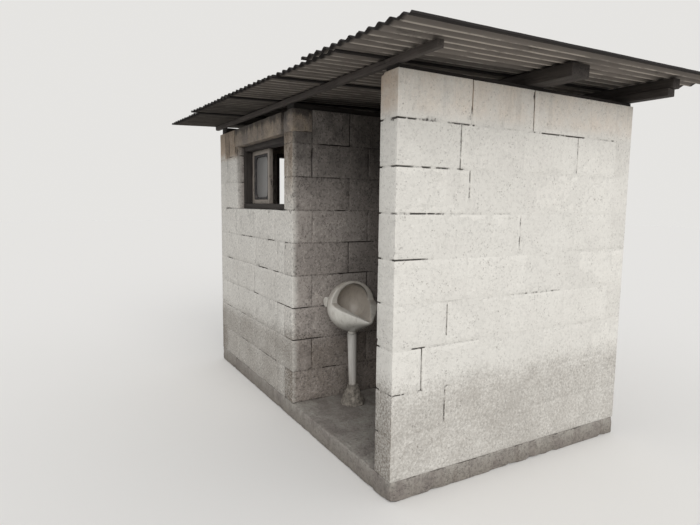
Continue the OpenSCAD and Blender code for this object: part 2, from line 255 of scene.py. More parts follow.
@lru_cache(maxsize=None)
def shell_grid(cells):
    """Grid places and outward quads of the surface of a box of so many cells each way."""
    quads = []
    for a in range(3):
        b, c = (a + 1) % 3, (a + 2) % 3
        i, j = cells_of(cells[b], cells[c])
        for side in (0, cells[a]):
            ring = ((0, 0), (1, 0), (1, 1), (0, 1)) if side else ((0, 0), (0, 1), (1, 1), (1, 0))
            quad = np.zeros((len(i), 4, 3), int)
            for k, (di, dj) in enumerate(ring):
                quad[:, k, a] = side
                quad[:, k, b] = i + di
                quad[:, k, c] = j + dj
            quads.append(quad)
    places, index = np.unique(np.concatenate(quads).reshape(-1, 3), axis=0, return_inverse=True)
    return places, index.reshape(-1, 4)


def ruled(size, radius, step):
    """Mesh lines along one side of a rounded box: close at its edges and even between them."""
    spans = max(1, round((size - 2 * radius) / step))
    middle = np.linspace(radius, size - radius, spans + 1)
    return np.concatenate([[0, 0.35 * radius], middle, [size - 0.35 * radius, size]])


class Rounded(NamedTuple):
    """The surface of a rounded box."""

    points: np.ndarray
    quads: np.ndarray
    outward: np.ndarray
    from_edge: np.ndarray


def rounded_box(size, radius, steps):
    """A closed box from 0 to size with rounded edges, and each point's distance from an edge."""
    lines = [ruled(s, radius, step) for s, step in zip(size, steps)]
    places, quads = shell_grid(tuple(len(line) - 1 for line in lines))
    flat = np.stack([lines[a][places[:, a]] for a in range(3)], 1)
    core = np.clip(flat, radius, np.asarray(size) - radius)
    outward = flat - core
    outward /= np.linalg.norm(outward, axis=1)[:, None]
    gaps = np.sort(np.minimum(flat, np.asarray(size) - flat), axis=1)
    return Rounded(core + outward * radius, quads, outward, gaps[:, 1])


def broken_edges(box, where, size, seed, onset, full, width, layers=1):
    """How much of a rounded box's edges is gone at each point, in patches about size wide."""
    broken = ramped(patches(where, size, seed, layers), onset, full)
    return broken * ramped(box.from_edge, width, 0.0)


def tube_quads(rings, around, closed=False):
    """Quads between rings of points; when closed, the last ring also meets the first."""
    i, j = cells_of(rings if closed else rings - 1, around)
    following, beside = (i + 1) % rings, (j + 1) % around
    corners = ((i, j), (i, beside), (following, beside), (following, j))
    return np.stack([ring * around + place for ring, place in corners], 1)


class Shape:
    """Gathers points, faces and values at the points, and becomes one object."""

    def __init__(self):
        self.points, self.faces, self.values, self.count = [], [], {}, 0

    def add(self, points, faces, **values):
        """Adds a form; each value is one number for all its points, or one for each of them."""
        self.points.append(points)
        self.faces.append(faces + self.count)
        self.count += len(points)
        for name, value in values.items():
            value = np.full(len(points), value) if np.isscalar(value) else value
            self.values.setdefault(name, []).append(value)

    def become(self, name, finish, nodes=(), crease=35):
        """Makes the object, which rides on the frame and stands for the nodes named."""
        mesh = bpy.data.meshes.new(name)
        faces = [face for group in self.faces for face in group.tolist()]
        mesh.from_pydata(np.concatenate(self.points).tolist(), [], faces)
        for key, parts in self.values.items():
            store(mesh, key, np.concatenate(parts))
        return settle(name, mesh, finish, nodes, crease)


def in_scene(name, data):
    """A new object in the scene that shows the data."""
    result = bpy.data.objects.new(name, data)
    bpy.context.scene.collection.objects.link(result)
    return result


def settle(name, mesh, finish, nodes=(), crease=35):
    """Puts a mesh in the scene as a smooth-shaded piece of the object."""
    mesh.polygons.foreach_set("use_smooth", [True] * len(mesh.polygons))
    mesh.set_sharp_from_angle(angle=math.radians(crease))
    mesh.materials.clear()
    mesh.materials.append(finish)
    piece = in_scene(name, mesh)
    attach(piece, "root")
    if nodes:
        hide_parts(*nodes)
    return piece


def read_points(mesh, field="co"):
    """A vector for each point of a mesh: its place, or its normal."""
    values = np.empty(len(mesh.vertices) * 3, np.float32)
    mesh.vertices.foreach_get(field, values)
    return values.reshape(-1, 3).astype(float)


def move_points(mesh, points):
    """Gives a mesh new places for its points."""
    mesh.vertices.foreach_set("co", points.astype(np.float32).ravel())
    mesh.update()


def store(mesh, name, values):
    """Stores a number or a vector for each point of a mesh, for its finish to read."""
    kind, field = ("FLOAT", "value") if values.ndim == 1 else ("FLOAT_VECTOR", "vector")
    layer = mesh.attributes.new(name, kind, "POINT")
    layer.data.foreach_set(field, values.astype(np.float32).ravel())


def node_points(node):
    """The distinct points of a CAD node's mesh, in metres."""
    return np.unique(read_points(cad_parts[node].data).round(4), axis=0)


def node_corners(node):
    """The eight corners of a CAD box that may lie askew, by its ends along X, Y and Z."""
    points = node_points(node)
    corners = np.empty((2, 2, 2, 3))
    by_x = points[np.argsort(points[:, 0])]
    for i, end in enumerate((by_x[:4], by_x[4:])):
        by_y = end[np.argsort(end[:, 1])]
        for j, pair in enumerate((by_y[:2], by_y[2:])):
            corners[i, j] = pair[np.argsort(pair[:, 2])]
    return corners


def node_copy(node, name):
    """A closed copy of a CAD node's mesh, which may then be reshaped."""
    same_place = 1e-5
    shape = bmesh.new()
    shape.from_mesh(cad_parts[node].data)
    bmesh.ops.remove_doubles(shape, verts=shape.verts, dist=same_place)
    mesh = bpy.data.meshes.new(name)
    shape.to_mesh(mesh)
    shape.free()
    return mesh


def modified(mesh, *modifiers):
    """The mesh after modifiers, each given as its type and its settings."""
    holder = in_scene("holder", mesh)
    for kind, settings in modifiers:
        modifier = holder.modifiers.new(kind, kind)
        for key, value in settings.items():
            setattr(modifier, key, value)
    graph = bpy.context.evaluated_depsgraph_get()
    result = bpy.data.meshes.new_from_object(holder.evaluated_get(graph))
    bpy.data.objects.remove(holder)
    return result


def bevelled(node, name, width, segments):
    """A copy of a CAD node's mesh with its edges rounded."""
    return modified(node_copy(node, name), ("BEVEL", {"width": width, "segments": segments}))


def blended(node, name, voxel, passes):
    """A copy of a CAD node's mesh whose forms run softly into each other."""
    return modified(
        node_copy(node, name),
        ("REMESH", {"mode": "VOXEL", "voxel_size": voxel}),
        ("SMOOTH", {"factor": 0.5, "iterations": passes}),
    )


# Finishes

def painted(value):
    """A screen colour as the shader's linear colour with its alpha; a field stays as it is."""
    if isinstance(value, Field):
        return value
    linear = [v / 12.92 if v <= 0.04045 else ((v + 0.055) / 1.055) ** 2.4 for v in value]
    return (*linear, 1.0)


class Field:
    """A shader socket that takes part in arithmetic: an expression on it adds its Math nodes."""

    def __init__(self, tree, socket):
        self.tree, self.socket = tree, socket

    def _math(self, operation, *values):
        return self.tree.add("ShaderNodeMath", {"operation": operation}, dict(enumerate(values)))

    def __add__(self, other):
        return self._math("ADD", self, other)

    def __sub__(self, other):
        return self._math("SUBTRACT", self, other)

    def __rsub__(self, other):
        return self._math("SUBTRACT", other, self)

    def __mul__(self, other):
        return self._math("MULTIPLY", self, other)

    __radd__ = __add__
    __rmul__ = __mul__

    def least(self, other):
        """The smaller of two numbers."""
        return self._math("MINIMUM", self, other)

    def most(self, other):
        """The larger of two numbers."""
        return self._math("MAXIMUM", self, other)

    def rise(self, low, high):
        """0 below low, 1 above high, and a smooth rise between them; low may be the larger."""
        sockets = {"Value": self, "From Min": low, "From Max": high}
        return self.tree.add("ShaderNodeMapRange", {"interpolation_type": "SMOOTHSTEP"}, sockets)


class Tree:
    """A node tree under construction, whose nodes all come from one method."""

    def __init__(self, owner):
        owner.use_nodes = True
        self.nodes, self.links = owner.node_tree.nodes, owner.node_tree.links
        self.nodes.clear()

    def add(self, kind, settings=None, sockets=None, output=0):
        """Adds a node: its settings first, then the values or links of its sockets."""
        node = self.nodes.new(kind)
        for key, value in (settings or {}).items():
            setattr(node, key, value)
        for key, value in (sockets or {}).items():
            if isinstance(value, Field):
                self.links.new(value.socket, node.inputs[key])
            else:
                node.inputs[key].default_value = value
        return Field(self, node.outputs[output]) if node.outputs else None


class Finish(Tree):
    """A material under construction, with the fields that its colour comes from."""

    def __init__(self, name):
        self.material = bpy.data.materials.new(name)
        super().__init__(self.material)
        self.place = self.add("ShaderNodeTexCoord", output="Object")

    def value(self, name):
        """A number that the mesh carries at its points."""
        return self.add("ShaderNodeAttribute", {"attribute_name": name}, output="Fac")

    def route(self, name):
        """A vector that the mesh carries at its points."""
        return self.add("ShaderNodeAttribute", {"attribute_name": name}, output="Vector")

    def normal(self):
        """The surface's normal."""
        return self.add("ShaderNodeNewGeometry", output="Normal")

    def parts(self, vector=None):
        """The three numbers of a vector."""
        node = self.add("ShaderNodeSeparateXYZ", sockets={0: vector or self.place})
        return [Field(self, socket) for socket in node.socket.node.outputs]

    def vectors(self, operation, one, other):
        """A sum or a product of two vectors."""
        return self.add("ShaderNodeVectorMath", {"operation": operation}, {0: one, 1: other})

    def scaled(self, size, stretch=(1, 1, 1), vector=None, shift=0.0):
        """A place in steps of size, stretched along some axes; shift moves to another part."""
        vector = vector or self.place
        if shift:
            vector = self.vectors("ADD", vector, (shift,) * 3)
        return self.vectors("MULTIPLY", vector, tuple(s / size for s in stretch))

    def noise(self, size, detail=4.0, roughness=0.55, **where):
        """Cloudy noise from 0 to 1 with patches about size wide."""
        sockets = {"Vector": self.scaled(size, **where), "Scale": 1.0}
        sockets.update({"Detail": detail, "Roughness": roughness})
        return self.add("ShaderNodeTexNoise", sockets=sockets)

    def grains(self, shift=0.0, size=0.014):
        """Scattered grains of sand, 1 on a grain and 0 beside it."""
        return self.noise(size, 3, 0.65, shift=shift).rise(0.54, 0.62)

    def cells(self, size):
        """Distance from the middle of the nearest random cell, 0 at the middle."""
        sockets = {"Vector": self.scaled(size), "Scale": 1.0}
        return self.add("ShaderNodeTexVoronoi", sockets=sockets, output="Distance")

    def mix(self, one, other, factor):
        """A colour between two colours."""
        sockets = {0: factor, 6: painted(one), 7: painted(other)}
        return self.add("ShaderNodeMix", {"data_type": "RGBA"}, sockets, output=2)

    def tinted(self, base, factor):
        """A colour multiplied by a number, which may be over 1."""
        grey = self.add("ShaderNodeCombineColor", sockets=dict.fromkeys(range(3), factor))
        settings = {"data_type": "RGBA", "blend_type": "MULTIPLY"}
        return self.add("ShaderNodeMix", settings, {0: 1.0, 6: painted(base), 7: grey}, output=2)

    def finished(self, base, roughness, height=None, depth=0.001, **constants):
        """The material, its shader fed with the colour, roughness, relief and constants."""
        sockets = {key.replace("_", " "): value for key, value in constants.items()}
        sockets.update({"Base Color": base, "Roughness": roughness})
        if height is not None:
            relief = {"Height": height, "Distance": depth}
            sockets["Normal"] = self.add("ShaderNodeBump", sockets=relief)
        shader = self.add("ShaderNodeBsdfPrincipled", sockets=sockets)
        self.add("ShaderNodeOutputMaterial", sockets={"Surface": shader})
        return self.material


class Wash(NamedTuple):
    """How a wall is painted and stained.

    cover is how much whitewash is left, and dull how thin it is. The eaves are the heights
    between which tan, runs and shade set in; shade is painted shade, and a shade below 0 is
    painted light. deep is painted shade that darkens the wall towards its back, mottle and grit
    speckle it, and soil is what has splashed up its foot.
    """

    cover: float
    tan: float
    runs: float
    dull: float
    mottle: float
    shade: float
    deep: float
    grit: float
    soil: float
    eaves: tuple


def blockwork_finish(name, look, settings):
    """Rough blocks in mortar with thin whitewash outside, stained from above and from below."""
    make = Finish(name)
    tone, gap, outside = (make.value(key) for key in ("tone", "gap", "outside"))
    _, y, z = make.parts()
    cloud = make.noise(0.35, 5, 0.6)
    grain = make.noise(0.012, 6, 0.7)
    sand = make.grains(2.3, size=0.016)
    grit = make.grains(4.7)
    worn = make.noise(0.09, 8, 0.68, shift=3.1)
    ragged = make.noise(0.020, 6, 0.72, shift=5.9)
    pit = make.cells(0.016).rise(0.30, 0.14) * worn.rise(0.45, 0.60)
    under_roof = z.rise(*look.eaves)

    bare = make.mix(settings.bare_dark, settings.bare, cloud * 0.9 + 0.12 + tone * 0.22)
    mottle = make.noise(0.10, 8, 0.78, shift=6.4).rise(0.48, 0.66) * look.mottle
    bare = make.mix(bare, settings.gap, mottle * 0.6)
    wash = make.mix(settings.wash_dull, settings.wash, cloud * 0.8 + 0.30 - look.dull * 0.8)
    wash = make.tinted(wash, 1 + tone * 0.03)

    cover = look.cover + worn * 0.9 + grain * 0.3 - 0.60 - under_roof * look.runs * 0.25
    painted_share = outside * cover.rise(0.42, 0.56)
    base = make.mix(bare, wash, painted_share)

    damp = make.noise(0.20, 8, 0.75, stretch=(1, 1, 0.7), shift=7.7).rise(0.32, 0.66)
    to_front = make.parts(make.normal())[1].rise(-0.5, -0.9)
    tan = outside * under_roof * (damp * 0.8 + 0.2 + to_front * 0.3) * (look.tan + to_front * 0.35)
    base = make.mix(base, settings.tan, tan.least(0.9))
    # Painted shade under the eaves, more on faces towards the front, and darker towards the wall's
    # back by deep; a shade below 0 is painted light
    shade = under_roof * (look.shade + to_front * 0.12) * (damp * 0.6 + 0.4)
    base = make.tinted(base, (1 - shade) * (1 - y.rise(-0.62, -0.25) * look.deep))
    runs = make.noise(0.055, 7, 0.72, stretch=(1, 1, 0.10), shift=1.9)
    run_mask = runs.rise(0.54, 0.62) * (under_roof * 0.75 + z.rise(1.15, 1.70) * 0.25) * look.runs
    base = make.mix(base, settings.gap, run_mask * 0.75)
    spatter = make.noise(0.012, 5, 0.8, shift=5.3) * 1.6 + make.noise(0.30, 4, 0.6, shift=8.8) * 0.6
    splash = (z.rise(0.80, 0.40) * 0.9 + spatter - 1.55).rise(0.0, 0.7) * look.soil
    base = make.mix(base, settings.soil, splash * (1 + to_front * 0.8))
    speck = make.noise(0.014, 3, 0.6, shift=9.1).rise(0.64, 0.69)
    base = make.mix(base, settings.soil, speck * (0.25 + worn.rise(0.5, 0.7) * 0.6))
    base = make.tinted(base, 1 + (sand * 0.8 - grit) * look.grit)
    base = make.mix(base, settings.gap, pit * 0.6 * (1 - painted_share * 0.6))
    # Dirt in the open joints, and painted shade in the sound ones by their depth
    open_joint = (gap * 1.3 + ragged - 0.62).rise(0.08, 0.42).most(gap * 0.7)
    base = make.mix(base, settings.gap, open_joint * 0.92)

    height = grain * 0.5 + (sand - grit) * 0.25 - pit * 0.6 + painted_share * 0.10
    return make.finished(base, 0.88 + grain * 0.06, height, depth=0.0022, Specular_IOR_Level=0.25)


def concrete_finish(name, light, settings):
    """Cast concrete, cloudy and pitted, with dark runs, soil at its foot and stains at its top."""
    make = Finish(name)
    packing = make.value("packing")
    z = make.parts()[2]
    cloud = make.noise(0.14, 8, 0.72).rise(0.30, 0.70)
    grain = make.grains(size=0.016) - make.grains(3.3)
    runs = make.noise(0.070, 8, 0.75, stretch=(1, 1, 0.25), shift=2.2)
    pit = make.cells(0.017).rise(0.28, 0.12)
    base = make.mix(settings.bare_dark, light, cloud)
    base = make.mix(base, settings.bare_dark, runs.rise(0.50, 0.60) * 0.55)
    top_stain = (z.rise(1.80, 1.92) * 0.9 + runs * 2 - 1.15).rise(0.1, 0.6)
    base = make.mix(base, settings.stain, top_stain * 0.75)
    base = make.mix(base, settings.soil, z.rise(0.15, 0.0) * (cloud * 0.5 + 0.1))
    base = make.tinted(base, 1 + grain * 0.15 - pit * 0.25)
    # Painted shade: a near-black fill deep in the lintel's open joint
    base = make.mix(base, settings.packing, packing * 0.9)
    return make.finished(base, 0.9, grain * 0.6 + cloud * 0.3 - pit * 0.5, depth=0.003)


def timber_finish(name, settings):
    """Weathered sawn timber with grain along each piece."""
    make = Finish(name)
    route = make.route("grain")
    tone = make.value("tone")
    fibre = make.noise(0.006, 6, 0.65, stretch=(0.03, 1, 1), vector=route)
    band = make.noise(0.03, 3, 0.5, stretch=(0.10, 1, 1), vector=route)
    crack = make.noise(0.010, 4, 0.6, stretch=(0.035, 1, 1), vector=route, shift=4.4)
    crack = crack.rise(0.40, 0.33)
    blotch = make.noise(0.14, 5, 0.6, shift=6.0)
    base = make.mix(settings.dark, settings.light, fibre * 0.75 + band * 0.45 + blotch * 0.4 - 0.42)
    # A random tone, or painted shade and light where a timber's tone is given
    base = make.tinted(base, 1 + tone * 0.35)
    base = make.tinted(base, 1 - crack * 0.55)
    height = fibre * 0.6 + band * 0.25 - crack * 0.7
    return make.finished(base, 0.84, height, depth=0.0018, Specular_IOR_Level=0.3)


def sash_finish(settings):
    """Old pale paint on timber, flaked to the wood in places."""
    make = Finish("sash_paint")
    route = make.route("grain")
    fibre = make.noise(0.005, 5, 0.6, stretch=(0.03, 1, 1), vector=route)
    flake = make.noise(0.022, 6, 0.7, stretch=(0.4, 1, 1), vector=route, shift=2.0)
    kept = flake.rise(0.37, 0.43)
    wood = make.mix(settings.dark, settings.light, fibre * 1.4 - 0.2)
    base = make.mix(wood, make.tinted(settings.paint, 0.86 + fibre * 0.25), kept)
    return make.finished(base, 0.75 - kept * 0.15, kept * 0.6 + fibre * 0.4, depth=0.0012)


def bead_finish(settings):
    """Dull dark bead with patches of dust."""
    make = Finish("pane_bead")
    dust = make.noise(0.05, 6, 0.65)
    grain = make.noise(0.003, 3, 0.5)
    base = make.mix(settings.bead, settings.light, dust.rise(0.45, 0.75) * 0.6)
    return make.finished(base, 0.7 + dust * 0.2, grain, depth=0.0004)


def pane_finish(settings):
    """Frosted glass under years of dust, in patches."""
    make = Finish("frosted_pane")
    dust = make.noise(0.16, 6, 0.6)
    speck = make.noise(0.004, 4, 0.6)
    streak = make.noise(0.012, 4, 0.6, stretch=(1, 1, 0.1), shift=3.0)
    cover = dust * 0.7 + streak * 0.4 - 0.1
    base = make.mix(settings.pane, settings.paint, cover.rise(0.40, 0.85) * 0.55)
    base = make.tinted(base, 0.82 + speck * 0.3)
    roughness = 0.30 + cover * 0.3
    return make.finished(base, roughness, speck, depth=0.0003, Transmission_Weight=0.25, IOR=1.5)


def sheet_finish(settings):
    """Old cement sheet: dark runs and pale growth on top, drier and browner below."""
    make = Finish("cement_sheet")
    lay = make.route("lay")
    under, crest, tone, edge = (make.value(key) for key in ("under", "crest", "tone", "edge"))
    grain = make.noise(0.006, 7, 0.65)
    cloud = make.noise(0.22, 5, 0.6)
    run = make.noise(0.05, 6, 0.62, stretch=(1, 0.06, 1), vector=lay)
    spot = make.noise(0.028, 5, 0.6, shift=8.0).rise(0.60, 0.70)
    top = make.mix(settings.top_dark, settings.top, crest * 0.35 + run * 0.9 + cloud * 0.7 - 0.55)
    top = make.mix(top, make.tinted(settings.top, 1.35), spot * 0.45)
    # Painted light: the lowest parts of the underside's waves are lighter
    below = make.mix(
        settings.under_dark, settings.under, (1 - crest) * 0.35 + run * 0.45 + cloud * 0.5 - 0.2
    )
    damp = make.noise(0.07, 6, 0.7, stretch=(1, 0.25, 1), vector=lay, shift=5.0).rise(0.56, 0.70)
    below = make.tinted(below, 1 - damp * 0.35)
    # Painted highlight: pale stripes along the lowest parts of the underside's waves
    highlight = make.noise(0.03, 5, 0.7, stretch=(1, 0.15, 1), vector=lay).rise(0.42, 0.54)
    below = make.mix(below, settings.stripe, crest.rise(0.20, 0.05) * highlight * 0.8)
    # Painted shade, not damp: the underside is darker towards the cabin's end
    below = make.tinted(below, 1 - make.parts()[0].rise(0.75, -0.60) * settings.damp)
    base = make.mix(top, below, under)
    growth = make.noise(0.030, 5, 0.7, shift=3.7)
    base = make.mix(base, settings.moss, (edge * (growth * 1.4 + 0.6)).rise(0.20, 0.65) * 0.95)
    base = make.tinted(base, 0.93 + tone * 0.09 + grain * 0.16)
    return make.finished(base, 0.9, grain + run * 0.3, depth=0.0016, Specular_IOR_Level=0.2)


def nail_finish(settings):
    """Galvanised steel that has mostly rusted."""
    make = Finish("roof_nail_steel")
    rusty = make.noise(0.008, 5, 0.6).rise(0.36, 0.60)
    steel = make.mix(settings.top, settings.top_dark, 0.4)
    base = make.mix(steel, settings.rust, rusty)
    return make.finished(base, 0.5 + rusty * 0.35, rusty, depth=0.0004, Metallic=0.6)


def glaze_finish(settings):
    """White glaze with grime in the bowl and dust on what faces up."""
    make = Finish("white_ware")
    # The second value is painted shade under the rim inside the bowl
    hollow, shadow_under_rim = make.value("hollow"), make.value("rim_shadow")
    upper_half = make.parts()[2].rise(0.70, 0.76)
    up = make.parts(make.normal())[2]
    cloud = make.noise(0.06, 6, 0.62)
    film = make.noise(0.018, 6, 0.65, stretch=(1, 1, 0.25), shift=2.0)
    speck = make.noise(0.010, 4, 0.65, shift=1.0).rise(0.56, 0.64) * (0.3 + upper_half * 0.7)
    foul = hollow * (0.80 + cloud * 0.25)
    dusty = up.rise(0.15, 0.95) * cloud.rise(0.25, 0.65)
    settled = upper_half * (1 - hollow) * (cloud * 0.6 + 0.35)
    base = make.mix(settings.glaze, settings.dust, (dusty * 0.5 + settled * 0.7).least(0.9))
    base = make.mix(base, settings.grime, foul.least(1.0))
    base = make.mix(base, settings.dust, film.rise(0.45, 0.75) * 0.5)
    base = make.mix(base, settings.grime, speck * 0.5)
    # Painted shade: faces that look down, and the band under the rim inside the bowl, are darker
    underside_shade = up.rise(-0.25, -0.95) * (1 - hollow)
    base = make.tinted(base, (1 - shadow_under_rim * 0.75) * (1 - underside_shade * (0.35 + cloud * 0.4)))
    roughness = 0.22 + dusty * 0.35 + hollow * 0.25
    return make.finished(base, roughness, cloud, depth=0.0006, Coat_Weight=0.25, IOR=1.5)


def pipe_finish(settings, name, base_colour):
    """Plastic with a dull skin, scuffed and splashed."""
    make = Finish(name)
    scuff = make.noise(0.02, 6, 0.65, stretch=(1, 1, 0.3))
    speck = make.noise(0.006, 3, 0.5, shift=1.0).rise(0.62, 0.72)
    base = make.mix(base_colour, settings.dust, scuff.rise(0.45, 0.75) * 0.5)
    splash = make.parts()[2].rise(0.36, 0.18)
    base = make.mix(base, settings.grime, splash * 0.45 + speck * 0.3)
    return make.finished(base, 0.42 + scuff * 0.25, scuff, depth=0.0005)


def mortar_finish(settings):
    """Hand-placed mortar, rough and stained."""
    make = Finish("collar_mortar")
    cloud = make.noise(0.04, 6, 0.65)
    grain = make.noise(0.006, 6, 0.7)
    crumb = make.noise(0.016, 4, 0.7, shift=2.6)
    base = make.mix(settings.mortar, settings.grime, cloud * 0.6)
    base = make.tinted(base, 0.25 + cloud * 0.35 + grain * 0.35 + crumb.rise(0.35, 0.62) * 0.6)
    return make.finished(base, 0.92, grain * 0.5 + crumb + cloud * 0.5, depth=0.006)


# Blockwork

class Wall(NamedTuple):
    """A straight block wall: the node it stands for and how its courses are bonded.

    axis is 0 for a wall along X and 1 for one along Y, and look names its wash.
    firsts are the lengths of the courses' first blocks, counted from the top and then repeated.
    starts and ends say, for even and odd courses, whether a course runs through the corner (1),
    ends at the node (0) or stops short of it (-1).
    free tells which ends stand free, recess is how deep the sound mortar lies and openness how
    much of the mortar has fallen out, 0 where the open joints are listed one by one.
    """

    node: str
    axis: int
    firsts: tuple
    starts: tuple
    ends: tuple
    free: tuple
    recess: float
    openness: float
    look: str


WALLS = (
    Wall("side_wall", 1, (0.41, 0.35, 0.41, 0.35, 0.41, 0.30, 0.16, 0.30, 0.16),
         (0, 0), (0, -1), (True, True), 0.0004, 0.0, "side"),
    Wall("partition_wall", 1, (0.39, 0.13),
         (0, 0), (0, 0), (True, False), 0.0016, 0.30, "partition"),
    Wall("rear_wall", 0, (0.26, 0.20),
         (1, 0), (0, 1), (False, False), 0.0008, 0.18, "outer"),
    Wall("front_wall_below_window", 0, (0.31, 0.40),
         (0, 1), (0, 1), (False, False), 0.0012, 0.30, "front"),
    Wall("front_wall_pier", 0, (0.30, 0.25),
         (0, 1), (0, 0), (False, True), 0.0012, 0.30, "front"),
    Wall("end_wall_front_pier", 1, (0.25, 0.20),
         (0, -1), (0, 0), (True, True), 0.0008, 0.18, "outer"),
    Wall("end_wall_rear_pier", 1, (0.20, 0.25),
         (0, 0), (-1, 0), (True, True), 0.0008, 0.18, "outer"),
)
LINTELS = ("window_lintel", "door_lintel")
# Where the window's lintel is parted, along X
LINTEL_JOINT = (0.022, 0.066)
# Open joints of the bay's free wall, measured from its end and from the ground, and how open they
# are. Bed joints, by their height: from where, to where, how open. Head joints: where, from and to
# which height, how open
OPEN_BEDS = {
    1.70: ((0.00, 0.08, 1.0), (0.08, 0.40, 0.45), (0.46, 0.70, 0.30), (0.89, 1.19, 0.9),
           (1.30, 1.45, 0.40)),
    1.50: ((0.00, 0.04, 1.0), (0.04, 0.28, 0.60), (0.30, 0.37, 0.35)),
    1.30: ((0.00, 0.10, 0.6), (0.11, 0.24, 1.0), (0.24, 0.66, 0.35)),
    1.10: ((0.00, 0.13, 0.9), (0.13, 0.21, 0.55)),
    0.90: ((0.28, 0.36, 0.30), (0.70, 1.05, 0.4)),
    0.70: ((0.12, 0.16, 1.0), (0.16, 0.50, 0.35)),
    0.50: ((0.00, 0.05, 0.9),),
}
OPEN_HEADS = (
    (0.41, 1.71, 1.90, 1.0), (0.82, 1.72, 1.90, 0.9), (0.35, 1.51, 1.69, 0.5),
    (0.41, 1.36, 1.48, 0.45), (0.30, 0.77, 0.87, 1.0), (0.16, 0.51, 0.68, 0.9),
    (1.15, 1.52, 1.68, 0.45), (0.75, 1.12, 1.28, 0.4), (0.30, 0.33, 0.48, 0.5),
)
# The shortest piece of a block that is laid at the end of a course
SHORTEST_PIECE = 0.06
# How far a block's faces may lie behind and before those of its neighbours
SLIDE = (-0.0010, 0.0004)
# Painted shade: how much darker a sound joint is painted for each metre that it lies back
JOINT_SHADE = 150
# Boxes that overlap by less than this don't meet
MEETING = 0.001
# shade and deep are painted shade; the side wall's shade below 0 is painted light under its eaves
LOOKS = {
    "side": Wash(
        cover=1.15, tan=0.40, runs=0.12, dull=0.03, mottle=0.3, shade=-0.16, deep=0.0, grit=0.09,
        soil=0.50, eaves=(1.69, 1.77),
    ),
    "partition": Wash(
        cover=0.80, tan=0.5, runs=0.30, dull=0.9, mottle=0.50, shade=0.66, deep=0.30,
        grit=0.36, soil=0.6, eaves=(1.25, 1.72),
    ),
    "front": Wash(
        cover=0.98, tan=0.9, runs=1.0, dull=0.45, mottle=0.8, shade=0.42, deep=0.0, grit=0.22,
        soil=0.38, eaves=(1.66, 1.74),
    ),
    "outer": Wash(
        cover=1.00, tan=0.45, runs=0.30, dull=0.25, mottle=0.5, shade=0.08, deep=0.0,
        grit=0.12, soil=0.5, eaves=(1.68, 1.76),
    ),
}


def cut_for_lintels(lo, hi, axis):
    """Splits a box where a lintel rests on it, so that what is under the lintel ends below it."""
    parts = [(lo.copy(), hi.copy())]
    for name in LINTELS:
        low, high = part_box(name)
        cut = []
        for a, b in parts:
            if any(min(b[k], high[k]) - max(a[k], low[k]) < MEETING for k in range(3)):
                cut.append((a, b))
                continue
            inside = (p for p in (low[axis], high[axis]) if a[axis] < p < b[axis])
            places = sorted({a[axis], b[axis], *inside})
            for start, end in zip(places, places[1:]):
                one, other = a.copy(), b.copy()
                one[axis], other[axis] = start, end
                if low[axis] - MEETING < start and end < high[axis] + MEETING:
                    other.z = low.z
                cut.append((one, other))
        parts = cut
    return parts


def course_boxes(wall, settings):
    """A wall's blocks: lowest and highest corner, which ends are free, and whether it is on top."""
    lo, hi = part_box(wall.node)
    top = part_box("side_wall")[1].z
    thickness = hi[1 - wall.axis] - lo[1 - wall.axis]
    for course in range(round((top - lo.z) / settings.course)):
        upper = top - course * settings.course
        if upper > hi.z + settings.joint:
            continue
        odd = course % 2
        start = lo[wall.axis] - wall.starts[odd] * thickness
        end = hi[wall.axis] + wall.ends[odd] * thickness
        corner_taken = wall.node == "partition_wall" and odd and course > 1
        places = [start, start + wall.firsts[course % len(wall.firsts)]]
        while places[-1] + settings.module < end - SHORTEST_PIECE:
            places.append(places[-1] + settings.module)
        if end - places[-1] < SHORTEST_PIECE:
            places.pop()
        places.append(end)
        for k, (one, other) in enumerate(zip(places, places[1:])):
            if k == 0 and corner_taken:
                continue
            low, high = lo.copy(), hi.copy()
            low[wall.axis], high[wall.axis] = one, other
            low.z, high.z = upper - settings.course, upper
            first = k == 0 and (wall.free[0] or wall.starts[odd] == 1)
            last = other == end and (wall.free[1] or wall.ends[odd] == 1)
            for a, b in cut_for_lintels(low, high, wall.axis):
                ends = (first and a[wall.axis] == one, last and b[wall.axis] == other)
                yield a, b, ends, course == 0


def near_outside(points):
    """1 at the building's outer faces and 0 on the faces of its rooms."""
    lo = Vector(map(min, *(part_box(wall.node)[0] for wall in WALLS)))
    hi = Vector(map(max, *(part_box(wall.node)[1] for wall in WALLS)))
    gaps = [points[:, 0] - lo.x, hi.x - points[:, 0], points[:, 1] - lo.y, hi.y - points[:, 1]]
    wholly, not_at_all = 0.012, 0.030
    return 1 - ramped(np.min(gaps, axis=0), wholly, not_at_all)


def worn_corner(points):
    """Wears down the top of the bay's free wall end, most on its inner side."""
    lo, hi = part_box("side_wall")
    reach_x, reach_y, drop, depth = 0.085, 0.030, 0.010, 0.05
    back, fade = 0.3, 0.1
    beside = ramped(lo.x + reach_x - points[:, 0], 0, reach_x)
    beside *= ramped(lo.y + back - points[:, 1], 0, fade)
    ahead = ramped(lo.y + reach_y - points[:, 1], 0, reach_y)
    high = ramped(points[:, 2], hi.z - depth, hi.z)
    points[:, 2] -= drop * high * np.maximum(beside, 0.6 * ahead)
    return points


